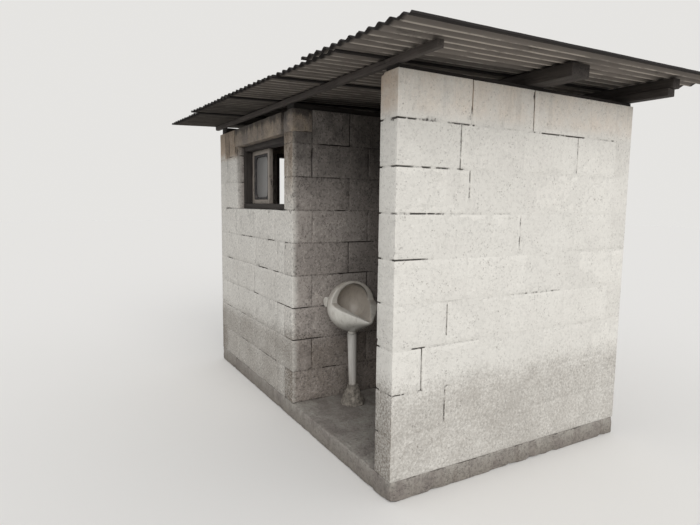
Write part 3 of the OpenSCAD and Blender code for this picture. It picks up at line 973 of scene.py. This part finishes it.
def lay_block(shape, lo, hi, ends, on_top, wall, settings, chance):
    """Adds one rough block of a wall."""
    half = settings.joint / 2
    low, high = np.array(lo), np.array(hi)
    low[2] += half
    high[2] -= 0 if on_top else half
    low[wall.axis] += 0 if ends[0] else half
    high[wall.axis] -= 0 if ends[1] else half
    steps = [settings.mesh_step] * 3
    steps[1 - wall.axis] = settings.mesh_step_across
    box = rounded_box(high - low, settings.arris, steps)
    points = box.points + low
    seed = int(chance.integers(1000))
    rough = patches(points, 0.07, seed) * 0.0007 + patches(points, 0.02, seed) * 0.0005
    chipped = broken_edges(box, points, 0.030, seed + 1, 0.45, 0.95, width=0.012)
    points += box.outward * (rough - settings.chip * chipped)[:, None]
    slide = chance.uniform(*SLIDE)
    across = points[:, 1 - wall.axis]
    middle = (low[1 - wall.axis] + high[1 - wall.axis]) / 2
    across += np.sign(across - middle) * slide
    if wall.node == "side_wall" and on_top:
        points = worn_corner(points)
    tone = chance.uniform(-1, 1)
    shape.add(points, box.quads, tone=tone, gap=0.0, outside=near_outside(points))


def fill_joints(shape, wall, settings):
    """Adds the mortar between a wall's blocks, flush in places and fallen out in others."""
    node_lo, node_hi = (np.array(v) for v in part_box(wall.node))
    # How far the mortar reaches into a wall that this one meets
    reach = 0.01
    for lo, hi in cut_for_lintels(*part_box(wall.node), wall.axis):
        low = np.maximum(lo, node_lo + np.array((1, 1, 0)) * wall.recess)
        high = np.minimum(hi, node_hi - wall.recess)
        for end, corner in enumerate((low, high)):
            limit = (node_lo, node_hi)[end][wall.axis]
            if not wall.free[end] and abs(corner[wall.axis] - limit) < reach:
                corner[wall.axis] = limit + (reach if end else -reach)
        steps = [0.022] * 3
        steps[wall.axis] = 0.018 if wall.openness else 0.012
        box = rounded_box(high - low, 0.001, steps)
        points = box.points + low
        if wall.openness:
            empty = patches(points, 0.19, settings.seed + 3, layers=2) * 0.5 + 0.5
            empty = ramped(empty, 0.85 - wall.openness, 1.15 - wall.openness)
        else:
            empty = listed_as_open(points, node_lo, settings.course)
        rough = patches(points, 0.02, settings.seed) * min(0.0006, wall.recess)
        points -= box.outward * (settings.open_depth * empty ** 2 - rough)[:, None]
        # gap is painted shade in a sound joint, darker the deeper it lies, and dirt where mortar
        # has fallen out
        gap = JOINT_SHADE * wall.recess * (1 - empty) + empty ** 1.5
        shape.add(points, box.quads, tone=0.0, gap=gap, outside=near_outside(points))


def listed_as_open(points, lo, course):
    """How open the joints of the bay's free wall are, ragged, and notched at its inner edge."""
    behind, height = points[:, 1] - lo[1], points[:, 2]
    ragged = patches(points, 0.035, 4) * 0.02
    result = np.zeros(len(points))
    joints = [(near, far, z, z, how) for z, row in OPEN_BEDS.items() for near, far, how in row]
    joints += [(y, y, low, high, how) for y, low, high, how in OPEN_HEADS]
    for near, far, low, high, strength in joints:
        aside = np.maximum(near - behind, behind - far) + (ragged if far > near else 0)
        off = np.maximum(low - height, height - high) + (0 if far > near else ragged)
        reach = 1 - ramped(np.maximum(aside, off), 0.010, 0.022)
        result = np.maximum(result, reach * strength)
    across = points[:, 0] - lo[0]
    on_end = (behind < 0.012) & (across < 0.10)
    result *= np.where(on_end, 0.4, 1)
    result *= 0.78 + 0.5 * patches(points, 0.024, 8, layers=2)
    near_bed = 0.015
    bed = np.abs((height - lo[2]) % course - course / 2) > course / 2 - near_bed
    notch = bed * ramped(across, 0.030, 0.012) * ramped(behind, 0.035, 0.010)
    return np.maximum(result, notch).clip(0, 1)


class OUTHOUSE_OT_lay_blockwork(bpy.types.Operator):
    """Lays every block wall in bonded courses, with its mortar"""

    bl_idname = "outhouse.lay_blockwork"
    bl_label = "Lay blockwork"

    def execute(self, context):
        settings = context.scene.outhouse_blockwork
        finishes = {
            key: blockwork_finish("blockwork_" + key, look, settings) for key, look in LOOKS.items()
        }
        for index, wall in enumerate(WALLS):
            chance = np.random.default_rng(settings.seed + index)
            shape = Shape()
            for lo, hi, ends, on_top in course_boxes(wall, settings):
                lay_block(shape, lo, hi, ends, on_top, wall, settings, chance)
            fill_joints(shape, wall, settings)
            shape.become(wall.node + "_blocks", finishes[wall.look], [wall.node], crease=50)
        return {"FINISHED"}


def add_cast(shape, lo, hi, radius, chip, seed, packing=0.0):
    """Adds a cast concrete bar or slab with worn edges between two corners, or a shade fill."""
    swell = 0.001
    box = rounded_box(hi - lo, radius, [0.03] * 3)
    points = box.points + lo
    chipped = broken_edges(box, points, 0.05, seed, 0.25, 0.9, width=0.02, layers=2)
    points += box.outward * (patches(points, 0.06, seed) * 0.0008 - chip * chipped)[:, None]
    points = np.clip(points, lo - swell, hi + swell)
    points[:, 2] = np.maximum(points[:, 2], lo[2])
    shape.add(points, box.quads, packing=packing)


def cast_piece(node, finish, radius, chip, seed, open_joint=None):
    """A cast concrete piece in place of its node, in two lengths where a joint stands open."""
    lo, hi = (np.array(v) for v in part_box(node))
    shape = Shape()
    if open_joint is None:
        add_cast(shape, lo, hi, radius, chip, seed)
    else:
        left_end, right_start = open_joint
        add_cast(shape, lo, np.array((left_end, *hi[1:])), radius, chip, seed)
        add_cast(shape, np.array((right_start, *lo[1:])), hi, radius, chip, seed + 1)
        # A near-black fill deep in the open joint stands in for the shade there
        behind, lap = 0.075, 0.004
        packing_lo = np.array((left_end - lap, lo[1] + behind, lo[2] + lap))
        packing_hi = np.array((right_start + lap, hi[1] - lap, hi[2] - lap))
        add_cast(shape, packing_lo, packing_hi, 0.002, 0.0, seed, packing=1.0)
    return shape.become(node + "_cast", finish, [node], crease=50)


class OUTHOUSE_OT_cast_concrete(bpy.types.Operator):
    """Casts the base slab and the two lintels"""

    bl_idname = "outhouse.cast_concrete"
    bl_label = "Cast concrete"

    def execute(self, context):
        settings = context.scene.outhouse_blockwork
        slab = concrete_finish("slab_concrete", settings.slab, settings)
        cast_piece("base_slab", slab, 0.008, 0.016, settings.seed)
        lintel = concrete_finish("cast_lintel", settings.lintel, settings)
        for node, joint in zip(LINTELS, (LINTEL_JOINT, None)):
            cast_piece(node, lintel, 0.005, 0.008, settings.seed + 1, joint)
        return {"FINISHED"}


# Timbers

def add_timber(shape, corners, settings, seed, tone=None):
    """Adds one sawn timber between eight corners, its grain along its longest side.

    A tone below 0 is darker and one above 0 lighter; without one, chance picks it.
    """
    start = corners[0, 0, 0]
    neighbours = (corners[1, 0, 0], corners[0, 1, 0], corners[0, 0, 1])
    size = np.array([np.linalg.norm(corner - start) for corner in neighbours])
    box = rounded_box(size, min(settings.edge, size.min() * 0.3), [settings.mesh_step] * 3)
    part = box.points / size
    points = np.zeros_like(part)
    for ends in itertools.product((0, 1), repeat=3):
        points += np.where(ends, part, 1 - part).prod(1)[:, None] * corners[ends]
    longest = int(size.argmax())
    order = [longest, *(a for a in range(3) if a != longest)]
    route = box.points[:, order] + seed * 3.7
    stretched = box.points.copy()
    stretched[:, longest] *= 0.12
    rough = patches(stretched, 0.02, seed) * 0.6 + patches(box.points, 0.16, seed) * 0.4
    waney = broken_edges(box, stretched, 0.035, seed + 5, 0.45, 0.9, width=0.012)
    inward = settings.waver * (rough - 1) * 0.5 - 0.004 * waney
    points += box.outward * inward[:, None]
    if tone is None:
        tone = np.random.default_rng(seed).uniform(-0.5, 0.5)
    shape.add(points, box.quads, grain=route, tone=tone)


def saw_timber(node, finish, settings, seed, tone=None):
    """A sawn timber in place of its node."""
    shape = Shape()
    add_timber(shape, node_corners(node), settings, seed, tone)
    return shape.become(node + "_timber", finish, [node], crease=50)


class OUTHOUSE_OT_saw_timbers(bpy.types.Operator):
    """Saws the wall plates and the timbers that carry the roof"""

    bl_idname = "outhouse.saw_timbers"
    bl_label = "Saw timbers"
    # Painted shade and light: the wall plates and beams are darker for the shade under the sheets,
    # the front batten lighter for the light on it
    shade_and_light_tones = {
        "side_wall_plate": -1.9, "partition_wall_plate": -1.9, "end_wall_plate": -1.9,
        "front_batten": 0.5, "middle_beam": -0.9, "rear_beam_lower": -1.2, "rear_beam_upper": -0.9,
    }

    def execute(self, context):
        settings = context.scene.outhouse_timber
        finish = timber_finish("dark_timber", settings)
        for seed, (node, tone) in enumerate(self.shade_and_light_tones.items()):
            saw_timber(node, finish, settings, seed + 1, tone)
        return {"FINISHED"}


class OUTHOUSE_OT_line_doorway(bpy.types.Operator):
    """Lines the doorway with timber"""

    bl_idname = "outhouse.line_doorway"
    bl_label = "Line doorway"

    def execute(self, context):
        settings = context.scene.outhouse_timber
        finish = timber_finish("lining_timber", settings)
        for seed, part in enumerate(("front", "rear", "head")):
            saw_timber("door_lining_" + part, finish, settings, seed + 21)
        return {"FINISHED"}


# Window

def frame_parts(outer, inner):
    """The two stiles and two rails between an outer and an inner box, as corners' boxes."""
    (x0, y0, z0), (x3, y1, z3) = outer
    (x1, _, z1), (x2, _, z2) = inner
    return (
        ((x0, y0, z0), (x1, y1, z3)), ((x2, y0, z0), (x3, y1, z3)),
        ((x1, y0, z0), (x2, y1, z1)), ((x1, y0, z2), (x2, y1, z3)),
    )


def box_corners(lo, hi):
    """The eight corners of an upright box, by its ends along X, Y and Z."""
    corners = np.empty((2, 2, 2, 3))
    for ends in itertools.product((0, 1), repeat=3):
        corners[ends] = np.where(ends, hi, lo)
    return corners


def round_outline(lo, hi, radius, steps):
    """Centre and angle of each point of a rectangle in X and Z with round corners."""
    centres = (
        (hi[0] - radius, hi[1] - radius), (lo[0] + radius, hi[1] - radius),
        (lo[0] + radius, lo[1] + radius), (hi[0] - radius, lo[1] + radius),
    )
    for quarter, centre in enumerate(centres):
        for k in range(steps + 1):
            yield centre, math.pi / 2 * (quarter + k / steps)


def bead_shape(settings):
    """The bead between sash and pane: square outside, round at its inner corners, and crowned."""
    lo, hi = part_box("window_bead")
    inner_lo, inner_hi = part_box("window_pane")
    inner = ((inner_lo.x, inner_lo.z), (inner_hi.x, inner_hi.z))
    margin = inner_lo.x - lo.x
    radius = settings.pane_corner
    part = np.linspace(0, 1, 9)
    sunk = settings.bead_crown * (1 - np.sqrt(np.sin(math.pi * part).clip(0)))
    rings = []
    for centre, angle in round_outline(*inner, radius, 8):
        way = np.array([math.cos(angle), math.sin(angle)])
        reach = (radius + margin) / max(abs(way))
        x, z = (c + w * (reach + (radius - reach) * part) for c, w in zip(centre, way))
        rings.append(np.stack([x, lo.y + sunk, z], 1))
    front = np.array(rings)
    back = front.copy()
    back[..., 1] = hi.y
    grid = np.concatenate([front, back[:, ::-1]], 1)
    return grid.reshape(-1, 3), tube_quads(*grid.shape[:2], closed=True)


class OUTHOUSE_OT_hang_window(bpy.types.Operator):
    """Sets the window's frame, sash, bead and pane in its opening"""

    bl_idname = "outhouse.hang_window"
    bl_label = "Hang window"

    def execute(self, context):
        settings = context.scene.outhouse_timber
        finish = timber_finish("window_timber", settings)
        # The window's frame is painted darker for the shade in its opening
        for seed, part in enumerate(("head", "sill", "jamb_left", "jamb_right")):
            saw_timber("window_" + part, finish, settings, seed + 11, -1.2)
        outer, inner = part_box("window_sash"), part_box("window_bead")
        sash = Shape()
        for seed, (lo, hi) in enumerate(frame_parts(outer, inner)):
            add_timber(sash, box_corners(lo, hi), settings, seed + 31)
        sash.become("window_sash_joinery", sash_finish(settings), ["window_sash"])
        bead = Shape()
        bead.add(*bead_shape(settings))
        finish = bead_finish(settings)
        bead.become("window_bead_strip", finish, ["window_bead"], crease=60)
        pane = bevelled("window_pane", "window_pane_glass", settings.pane_bevel, segments=2)
        settle("window_pane_glass", pane, pane_finish(settings), ["window_pane"])
        return {"FINISHED"}


# Roof

class Corrugated(NamedTuple):
    """A sheet's front profile, lower and upper side, with its directions."""

    lower: np.ndarray
    upper: np.ndarray
    along: np.ndarray
    up: np.ndarray
    across: np.ndarray


def finer(line):
    """A line of points with one more between each two, on a smooth curve through them."""
    padded = np.concatenate([[2 * line[0] - line[1]], line, [2 * line[-1] - line[-2]]])
    middle = (9 * (padded[1:-2] + padded[2:-1]) - padded[:-3] - padded[3:]) / 16
    result = np.empty((2 * len(line) - 1, 3))
    result[::2] = line
    result[1::2] = middle
    return result


def sheet_profile(node):
    """Reads a corrugated sheet's profile and directions from its node."""
    points = node_points(node)
    behind = points[:, 1] > points[:, 1].mean()
    front, rear = points[~behind], points[behind]
    along = rear.mean(0) - front.mean(0)
    centred = front - front.mean(0)
    across = np.linalg.svd(centred, full_matrices=False)[2][0]
    across *= -np.sign(across[0])
    up = np.cross(along, across)
    up /= np.linalg.norm(up)
    up *= np.sign(up[2])
    order = np.argsort(centred @ across)
    pairs = front[order].reshape(-1, 2, 3)
    higher = (pairs[:, 1] - pairs[:, 0]) @ up > 0
    lower = np.where(higher[:, None], pairs[:, 0], pairs[:, 1])
    upper = np.where(higher[:, None], pairs[:, 1], pairs[:, 0])
    return Corrugated(finer(lower), finer(upper), along, up, across)


def end_losses(spot, settings, seed):
    """How much is gone at each point of a sheet's front end, and then of its rear end."""
    for end in (0, 1):
        wobble = 0.0022 * (patches(spot + end * 3, 0.05, seed) + 1)
        broken = settings.chip * ramped(patches(spot + end * 5, 0.045, seed + 9), 0.35, 0.95)
        crumbled = 0.002 * (patches(spot + end * 7, 0.008, seed) + 1)
        yield wobble + broken + crumbled


def sheet_quads(count, width):
    """Quads of a sheet's lower side, of its upper side and of the four edges that join them."""
    i, j = cells_of(count - 1, width - 1)
    here = i * width + j
    side = np.stack([here, here + width, here + width + 1, here + 1], 1)
    upper = count * width
    quads = [side[:, ::-1], side + upper]
    along, across = np.arange(count - 1) * width, np.arange(width - 1)
    edges = (
        (along, width, False), (along + width - 1, width, True),
        (across, 1, True), (across + (count - 1) * width, 1, False),
    )
    for start, step, flip in edges:
        edge = np.stack([start, start + step, start + step + upper, start + upper], 1)
        quads.append(edge[:, ::-1] if flip else edge)
    return np.concatenate(quads)


def outward_quads(points, quads, up, example):
    """The quads, all turned over if one that should look up looks down."""
    corners = points[quads[example]]
    normal = np.cross(corners[1] - corners[0], corners[2] - corners[1])
    return quads if normal @ up > 0 else quads[:, ::-1]


def add_sheet(shape, sheet, settings, seed):
    """Adds one corrugated sheet with chipped ends and slightly uneven faces."""
    reach = np.linalg.norm(sheet.along)
    way = sheet.along / reach
    near_end, inside, shortest_step = 0.018, 0.05, 0.004
    inner = np.linspace(inside, reach - inside, round(reach / settings.mesh_step))
    stations = np.concatenate([[0, near_end], inner, [reach - near_end, reach]])
    count, width = len(sheet.lower), len(stations)
    place = (sheet.lower - sheet.lower[0]) @ sheet.across
    low = sheet.lower @ sheet.up
    low = low - np.linspace(low[0], low[-1], count)
    crest = (low - low.min()) / (low.max() - low.min())
    inwards = np.zeros(count)
    inwards[0], inwards[-1] = 1, -1
    grids, lays = [], []
    for side, line in enumerate((sheet.lower, sheet.upper)):
        spot = np.stack([place, np.full(count, side * 0.3), np.full(count, seed * 7.0)], 1)
        front_loss, rear_loss = end_losses(spot, settings, seed)
        rows = np.repeat(stations[None], count, 0)
        rows[:, 0] += front_loss
        rows[:, 1] = np.maximum(rows[:, 1], rows[:, 0] + shortest_step)
        rows[:, -1] -= rear_loss
        rows[:, -2] = np.minimum(rows[:, -2], rows[:, -1] - shortest_step)
        flat = (line[:, None] + rows[..., None] * way).reshape(-1, 3)
        uneven = patches(flat, 0.5, 3) * 0.0009 + patches(flat, 0.12, 4) * 0.0004
        wear = 0.0030 * (patches(flat * (1, 1, 0), 0.03, seed, layers=2) * 0.7 + 1)
        moved = flat + np.outer(uneven * (0.5 if side else 1), sheet.up)
        grids.append(moved + np.outer(np.repeat(inwards, width) * wear, sheet.across))
        lay = (np.repeat(place, width), rows.ravel(), np.full(len(flat), side * 2.0 + seed))
        lays.append(np.stack(lay, 1))
    points = np.concatenate(grids)
    first_upper = (count - 1) * (width - 1)
    from_side = np.minimum(place, place[-1] - place)
    from_end = np.minimum(stations, reach - stations)
    edge = np.maximum(
        np.repeat(1 - ramped(from_side, 0.014, 0.048), width),
        np.tile(1 - ramped(from_end, 0.004, 0.030), count),
    )
    shape.add(
        points, outward_quads(points, sheet_quads(count, width), sheet.up, first_upper),
        under=np.repeat([1.0, 0.0], count * width), crest=np.tile(np.repeat(crest, width), 2),
        edge=np.tile(edge, 2), lay=np.concatenate(lays),
        tone=np.random.default_rng(seed).uniform(-1, 1),
    )


def add_nail(shape, foot, up, settings, chance):
    """Adds a domed nail head on its washer, a little askew."""
    turns, lean = 14, 0.05
    up = up + chance.normal(0, lean, 3)
    up /= np.linalg.norm(up)
    side = np.cross(up, (0.3, 1, 0.2))
    side /= np.linalg.norm(side)
    other = np.cross(up, side)
    head, washer = settings.nail_head / 2, settings.washer / 2
    profile = (
        (washer, -0.003), (washer, 0.0005), (washer * 0.93, 0.0015), (head * 1.02, 0.0022),
        (head, 0.0032), (head * 0.8, 0.0050), (head * 0.45, 0.0062), (0.0003, 0.0066),
    )
    angle = np.arange(turns) / turns * 2 * math.pi
    spokes = np.cos(angle)[:, None] * side + np.sin(angle)[:, None] * other
    points = np.concatenate([foot + spokes * radius + up * height for radius, height in profile])
    shape.add(points, tube_quads(len(profile), turns))


def nail_places(sheet, timbers, waves):
    """Where nails go through a sheet: on crests over the middle of each timber."""
    low = sheet.upper @ sheet.up
    tops = [k for k in range(1, len(low) - 1) if low[k] >= low[k - 1] and low[k] > low[k + 1]]
    way = sheet.along / np.linalg.norm(sheet.along)
    for node in timbers:
        middle = node_corners(node).mean((0, 1, 2))
        for k in tops[1::waves]:
            point = sheet.upper[k]
            yield point + way * ((middle[1] - point[1]) / way[1])


class OUTHOUSE_OT_lay_sheets(bpy.types.Operator):
    """Lays the corrugated sheets and drives their nails"""

    bl_idname = "outhouse.lay_sheets"
    bl_label = "Lay sheets"
    timbers = ("front_batten", "middle_beam", "rear_beam_upper")

    def execute(self, context):
        settings = context.scene.outhouse_roof
        finish = sheet_finish(settings)
        nails = Shape()
        chance = np.random.default_rng(settings.seed)
        nodes = sorted(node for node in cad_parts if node.startswith("roof_sheet"))
        for seed, node in enumerate(nodes, 1):
            sheet = sheet_profile(node)
            shape = Shape()
            add_sheet(shape, sheet, settings, seed)
            shape.become(node + "_cement", finish, [node], crease=45)
            for place in nail_places(sheet, self.timbers, settings.nail_waves):
                add_nail(nails, place, sheet.up, settings, chance)
        nails.become("roof_nails", nail_finish(settings), crease=40)
        return {"FINISHED"}


# Urinal

def widen_upwards(pipe, flare):
    """Widens a leaning pipe evenly from its foot to its top, about its own axis."""
    end, narrower = 0.02, 0.06
    points = read_points(pipe)
    height = points[:, 2]
    low, high = height < height.min() + end, height > height.max() - end
    foot, top = points[low].mean(0), points[high].mean(0)
    part = (height - foot[2]) / (top[2] - foot[2])
    axis = foot + (top - foot) * part[:, None]
    points[:, :2] += (points - axis)[:, :2] * (flare * part - narrower)[:, None]
    move_points(pipe, points)


def mark_hollow(bowl):
    """Stores how far each point of the bowl is inside it, and how far it is under its rim."""
    lo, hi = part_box("urinal_bowl")
    # The middle of the bowl's ball, from the low corner of the bowl's box
    ball_x, ball_z = 0.185, 0.205
    centre = np.array([lo.x + ball_x, (lo.y + hi.y) / 2, lo.z + ball_z])
    reach = read_points(bowl) - centre
    inward = -(reach * read_points(bowl, "normal")).sum(1)
    hollow = ramped(inward, 0.035, 0.06)
    store(bowl, "hollow", hollow)
    away = reach / np.linalg.norm(reach, axis=1)[:, None]
    facing = -away[hollow > 0.5].mean(0)
    ahead = away @ facing / np.linalg.norm(facing)
    rim = np.quantile(ahead[(hollow > 0.5) & (reach[:, 2] > 0.02)], 0.95)
    # Painted shade: marks the band inside the bowl under its rim, which is painted darker
    rim_shadow = ramped(ahead, rim - 0.55, rim - 0.15) * ramped(reach[:, 2], -0.04, 0.03)
    store(bowl, "rim_shadow", hollow * rim_shadow)


def make_lumpy(mesh, lump, foot):
    """Pushes a mesh's points in and out in lumps, but none below its foot."""
    points = read_points(mesh)
    lumps = patches(points, 0.035, 2, layers=3) * 0.8 + patches(points, 0.012, 3) * 0.3
    points += read_points(mesh, "normal") * (lumps * lump)[:, None]
    points[:, 2] = np.maximum(points[:, 2], foot)
    move_points(mesh, points)


class OUTHOUSE_OT_hang_urinal(bpy.types.Operator):
    """Hangs the urinal with its inlet, its drain pipe and the mortar round the pipe's foot"""

    bl_idname = "outhouse.hang_urinal"
    bl_label = "Hang urinal"

    def execute(self, context):
        settings = context.scene.outhouse_urinal
        bowl = blended("urinal_bowl", "urinal_bowl_ware", settings.voxel, settings.blend)
        mark_hollow(bowl)
        finish = glaze_finish(settings)
        settle("urinal_bowl_ware", bowl, finish, ["urinal_bowl"], crease=180)
        inlet = bevelled("urinal_inlet", "urinal_inlet_fitting", settings.bevel, segments=3)
        finish = pipe_finish(settings, "inlet_fitting", settings.glaze)
        settle("urinal_inlet_fitting", inlet, finish, ["urinal_inlet"])
        pipe = node_copy("urinal_drain_pipe", "urinal_pipe")
        widen_upwards(pipe, settings.flare)
        finish = pipe_finish(settings, "drain_plastic", settings.pipe)
        settle("urinal_pipe", pipe, finish, ["urinal_drain_pipe"], crease=40)
        collar = blended("pipe_collar", "pipe_collar_mortar", voxel=0.005, passes=4)
        make_lumpy(collar, settings.lump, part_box("pipe_collar")[0].z)
        finish = mortar_finish(settings)
        settle("pipe_collar_mortar", collar, finish, ["pipe_collar"], crease=60)
        return {"FINISHED"}


# Studio

def seen_directly(tree):
    """1 for what the camera sees, also in gloss and through glass, and 0 for light elsewhere."""
    names = ("Is Camera Ray", "Is Glossy Ray", "Is Transmission Ray")
    camera, gloss, glass = (tree.add("ShaderNodeLightPath", output=name) for name in names)
    return camera.most(gloss).most(glass)


class OUTHOUSE_OT_set_studio(bpy.types.Operator):
    """Sets the floor, the soft light and the camera"""

    bl_idname = "outhouse.set_studio"
    bl_label = "Set studio"

    def execute(self, context):
        settings = context.scene.outhouse_studio
        scene = context.scene
        mesh = bpy.data.meshes.new("floor")
        corners = ((-1, -1, 0), (1, -1, 0), (1, 1, 0), (-1, 1, 0))
        mesh.from_pydata([Vector(c) * settings.floor_reach for c in corners], [], [(0, 1, 2, 3)])
        floor = in_scene("floor", mesh)
        make = Finish("studio_floor")
        base = make.mix(settings.bounce, settings.floor, seen_directly(make))
        mesh.materials.append(make.finished(base, 0.95, Specular_IOR_Level=0.0))
        floor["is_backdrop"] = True

        world = bpy.data.worlds.new("studio")
        tree = Tree(world)
        daylight = {"Color": (*settings.sky_tint, 1.0), "Strength": settings.sky}
        lit = tree.add("ShaderNodeBackground", sockets=daylight)
        shown = tree.add("ShaderNodeBackground", sockets={"Color": painted(settings.backdrop)})
        either = tree.add("ShaderNodeMixShader", sockets={0: seen_directly(tree), 1: lit, 2: shown})
        tree.add("ShaderNodeOutputWorld", sockets={"Surface": either})
        scene.world = world

        lamp = bpy.data.lights.new("key", "SUN")
        lamp.energy = settings.key
        lamp.angle = settings.key_softness
        lamp.color = settings.key_tint
        key = in_scene("key", lamp)
        key.rotation_euler = Vector(settings.key_way).to_track_quat("Z", "Y").to_euler()

        lens = bpy.data.cameras.new("photo_view")
        lens.lens = settings.lens
        lens.sensor_width = 36.0
        camera = in_scene("photo_view", lens)
        camera.location = settings.place
        camera.rotation_euler = settings.aim
        scene.camera = camera
        scene.view_settings.view_transform = "Standard"
        return {"FINISHED"}


class OUTHOUSE_PT_panel(bpy.types.Panel):
    """Lists the steps that finish the outhouse."""

    bl_label = "Block outhouse"
    bl_idname = "OUTHOUSE_PT_panel"
    bl_space_type = "VIEW_3D"
    bl_region_type = "UI"
    bl_category = "Outhouse"

    def draw(self, context):
        for operator in OPERATORS:
            self.layout.operator(operator.bl_idname)
        for name in SETTINGS:
            group = getattr(context.scene, name)
            box = self.layout.box()
            for key in group.__annotations__:
                box.prop(group, key)


SETTINGS = {
    "outhouse_blockwork": BlockworkSettings,
    "outhouse_timber": TimberSettings,
    "outhouse_roof": RoofSettings,
    "outhouse_urinal": UrinalSettings,
    "outhouse_studio": StudioSettings,
}
OPERATORS = (
    OUTHOUSE_OT_lay_blockwork,
    OUTHOUSE_OT_cast_concrete,
    OUTHOUSE_OT_saw_timbers,
    OUTHOUSE_OT_line_doorway,
    OUTHOUSE_OT_hang_window,
    OUTHOUSE_OT_lay_sheets,
    OUTHOUSE_OT_hang_urinal,
    OUTHOUSE_OT_set_studio,
)


def register():
    for name, group in SETTINGS.items():
        bpy.utils.register_class(group)
        setattr(bpy.types.Scene, name, PointerProperty(type=group))
    for operator in OPERATORS:
        bpy.utils.register_class(operator)
    bpy.utils.register_class(OUTHOUSE_PT_panel)


def unregister():
    bpy.utils.unregister_class(OUTHOUSE_PT_panel)
    for operator in reversed(OPERATORS):
        bpy.utils.unregister_class(operator)
    for name, group in SETTINGS.items():
        delattr(bpy.types.Scene, name)
        bpy.utils.unregister_class(group)


def main():
    register()
    bpy.ops.outhouse.lay_blockwork()
    bpy.ops.outhouse.cast_concrete()
    bpy.ops.outhouse.saw_timbers()
    bpy.ops.outhouse.line_doorway()
    bpy.ops.outhouse.hang_window()
    bpy.ops.outhouse.lay_sheets()
    bpy.ops.outhouse.hang_urinal()
    bpy.ops.outhouse.set_studio()
    boxes = {"cad": CAD_BOX, "visual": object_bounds()}
    {key: [list(corner) for corner in box] for key, box in boxes.items()}


if __name__ == "__main__":
    main()
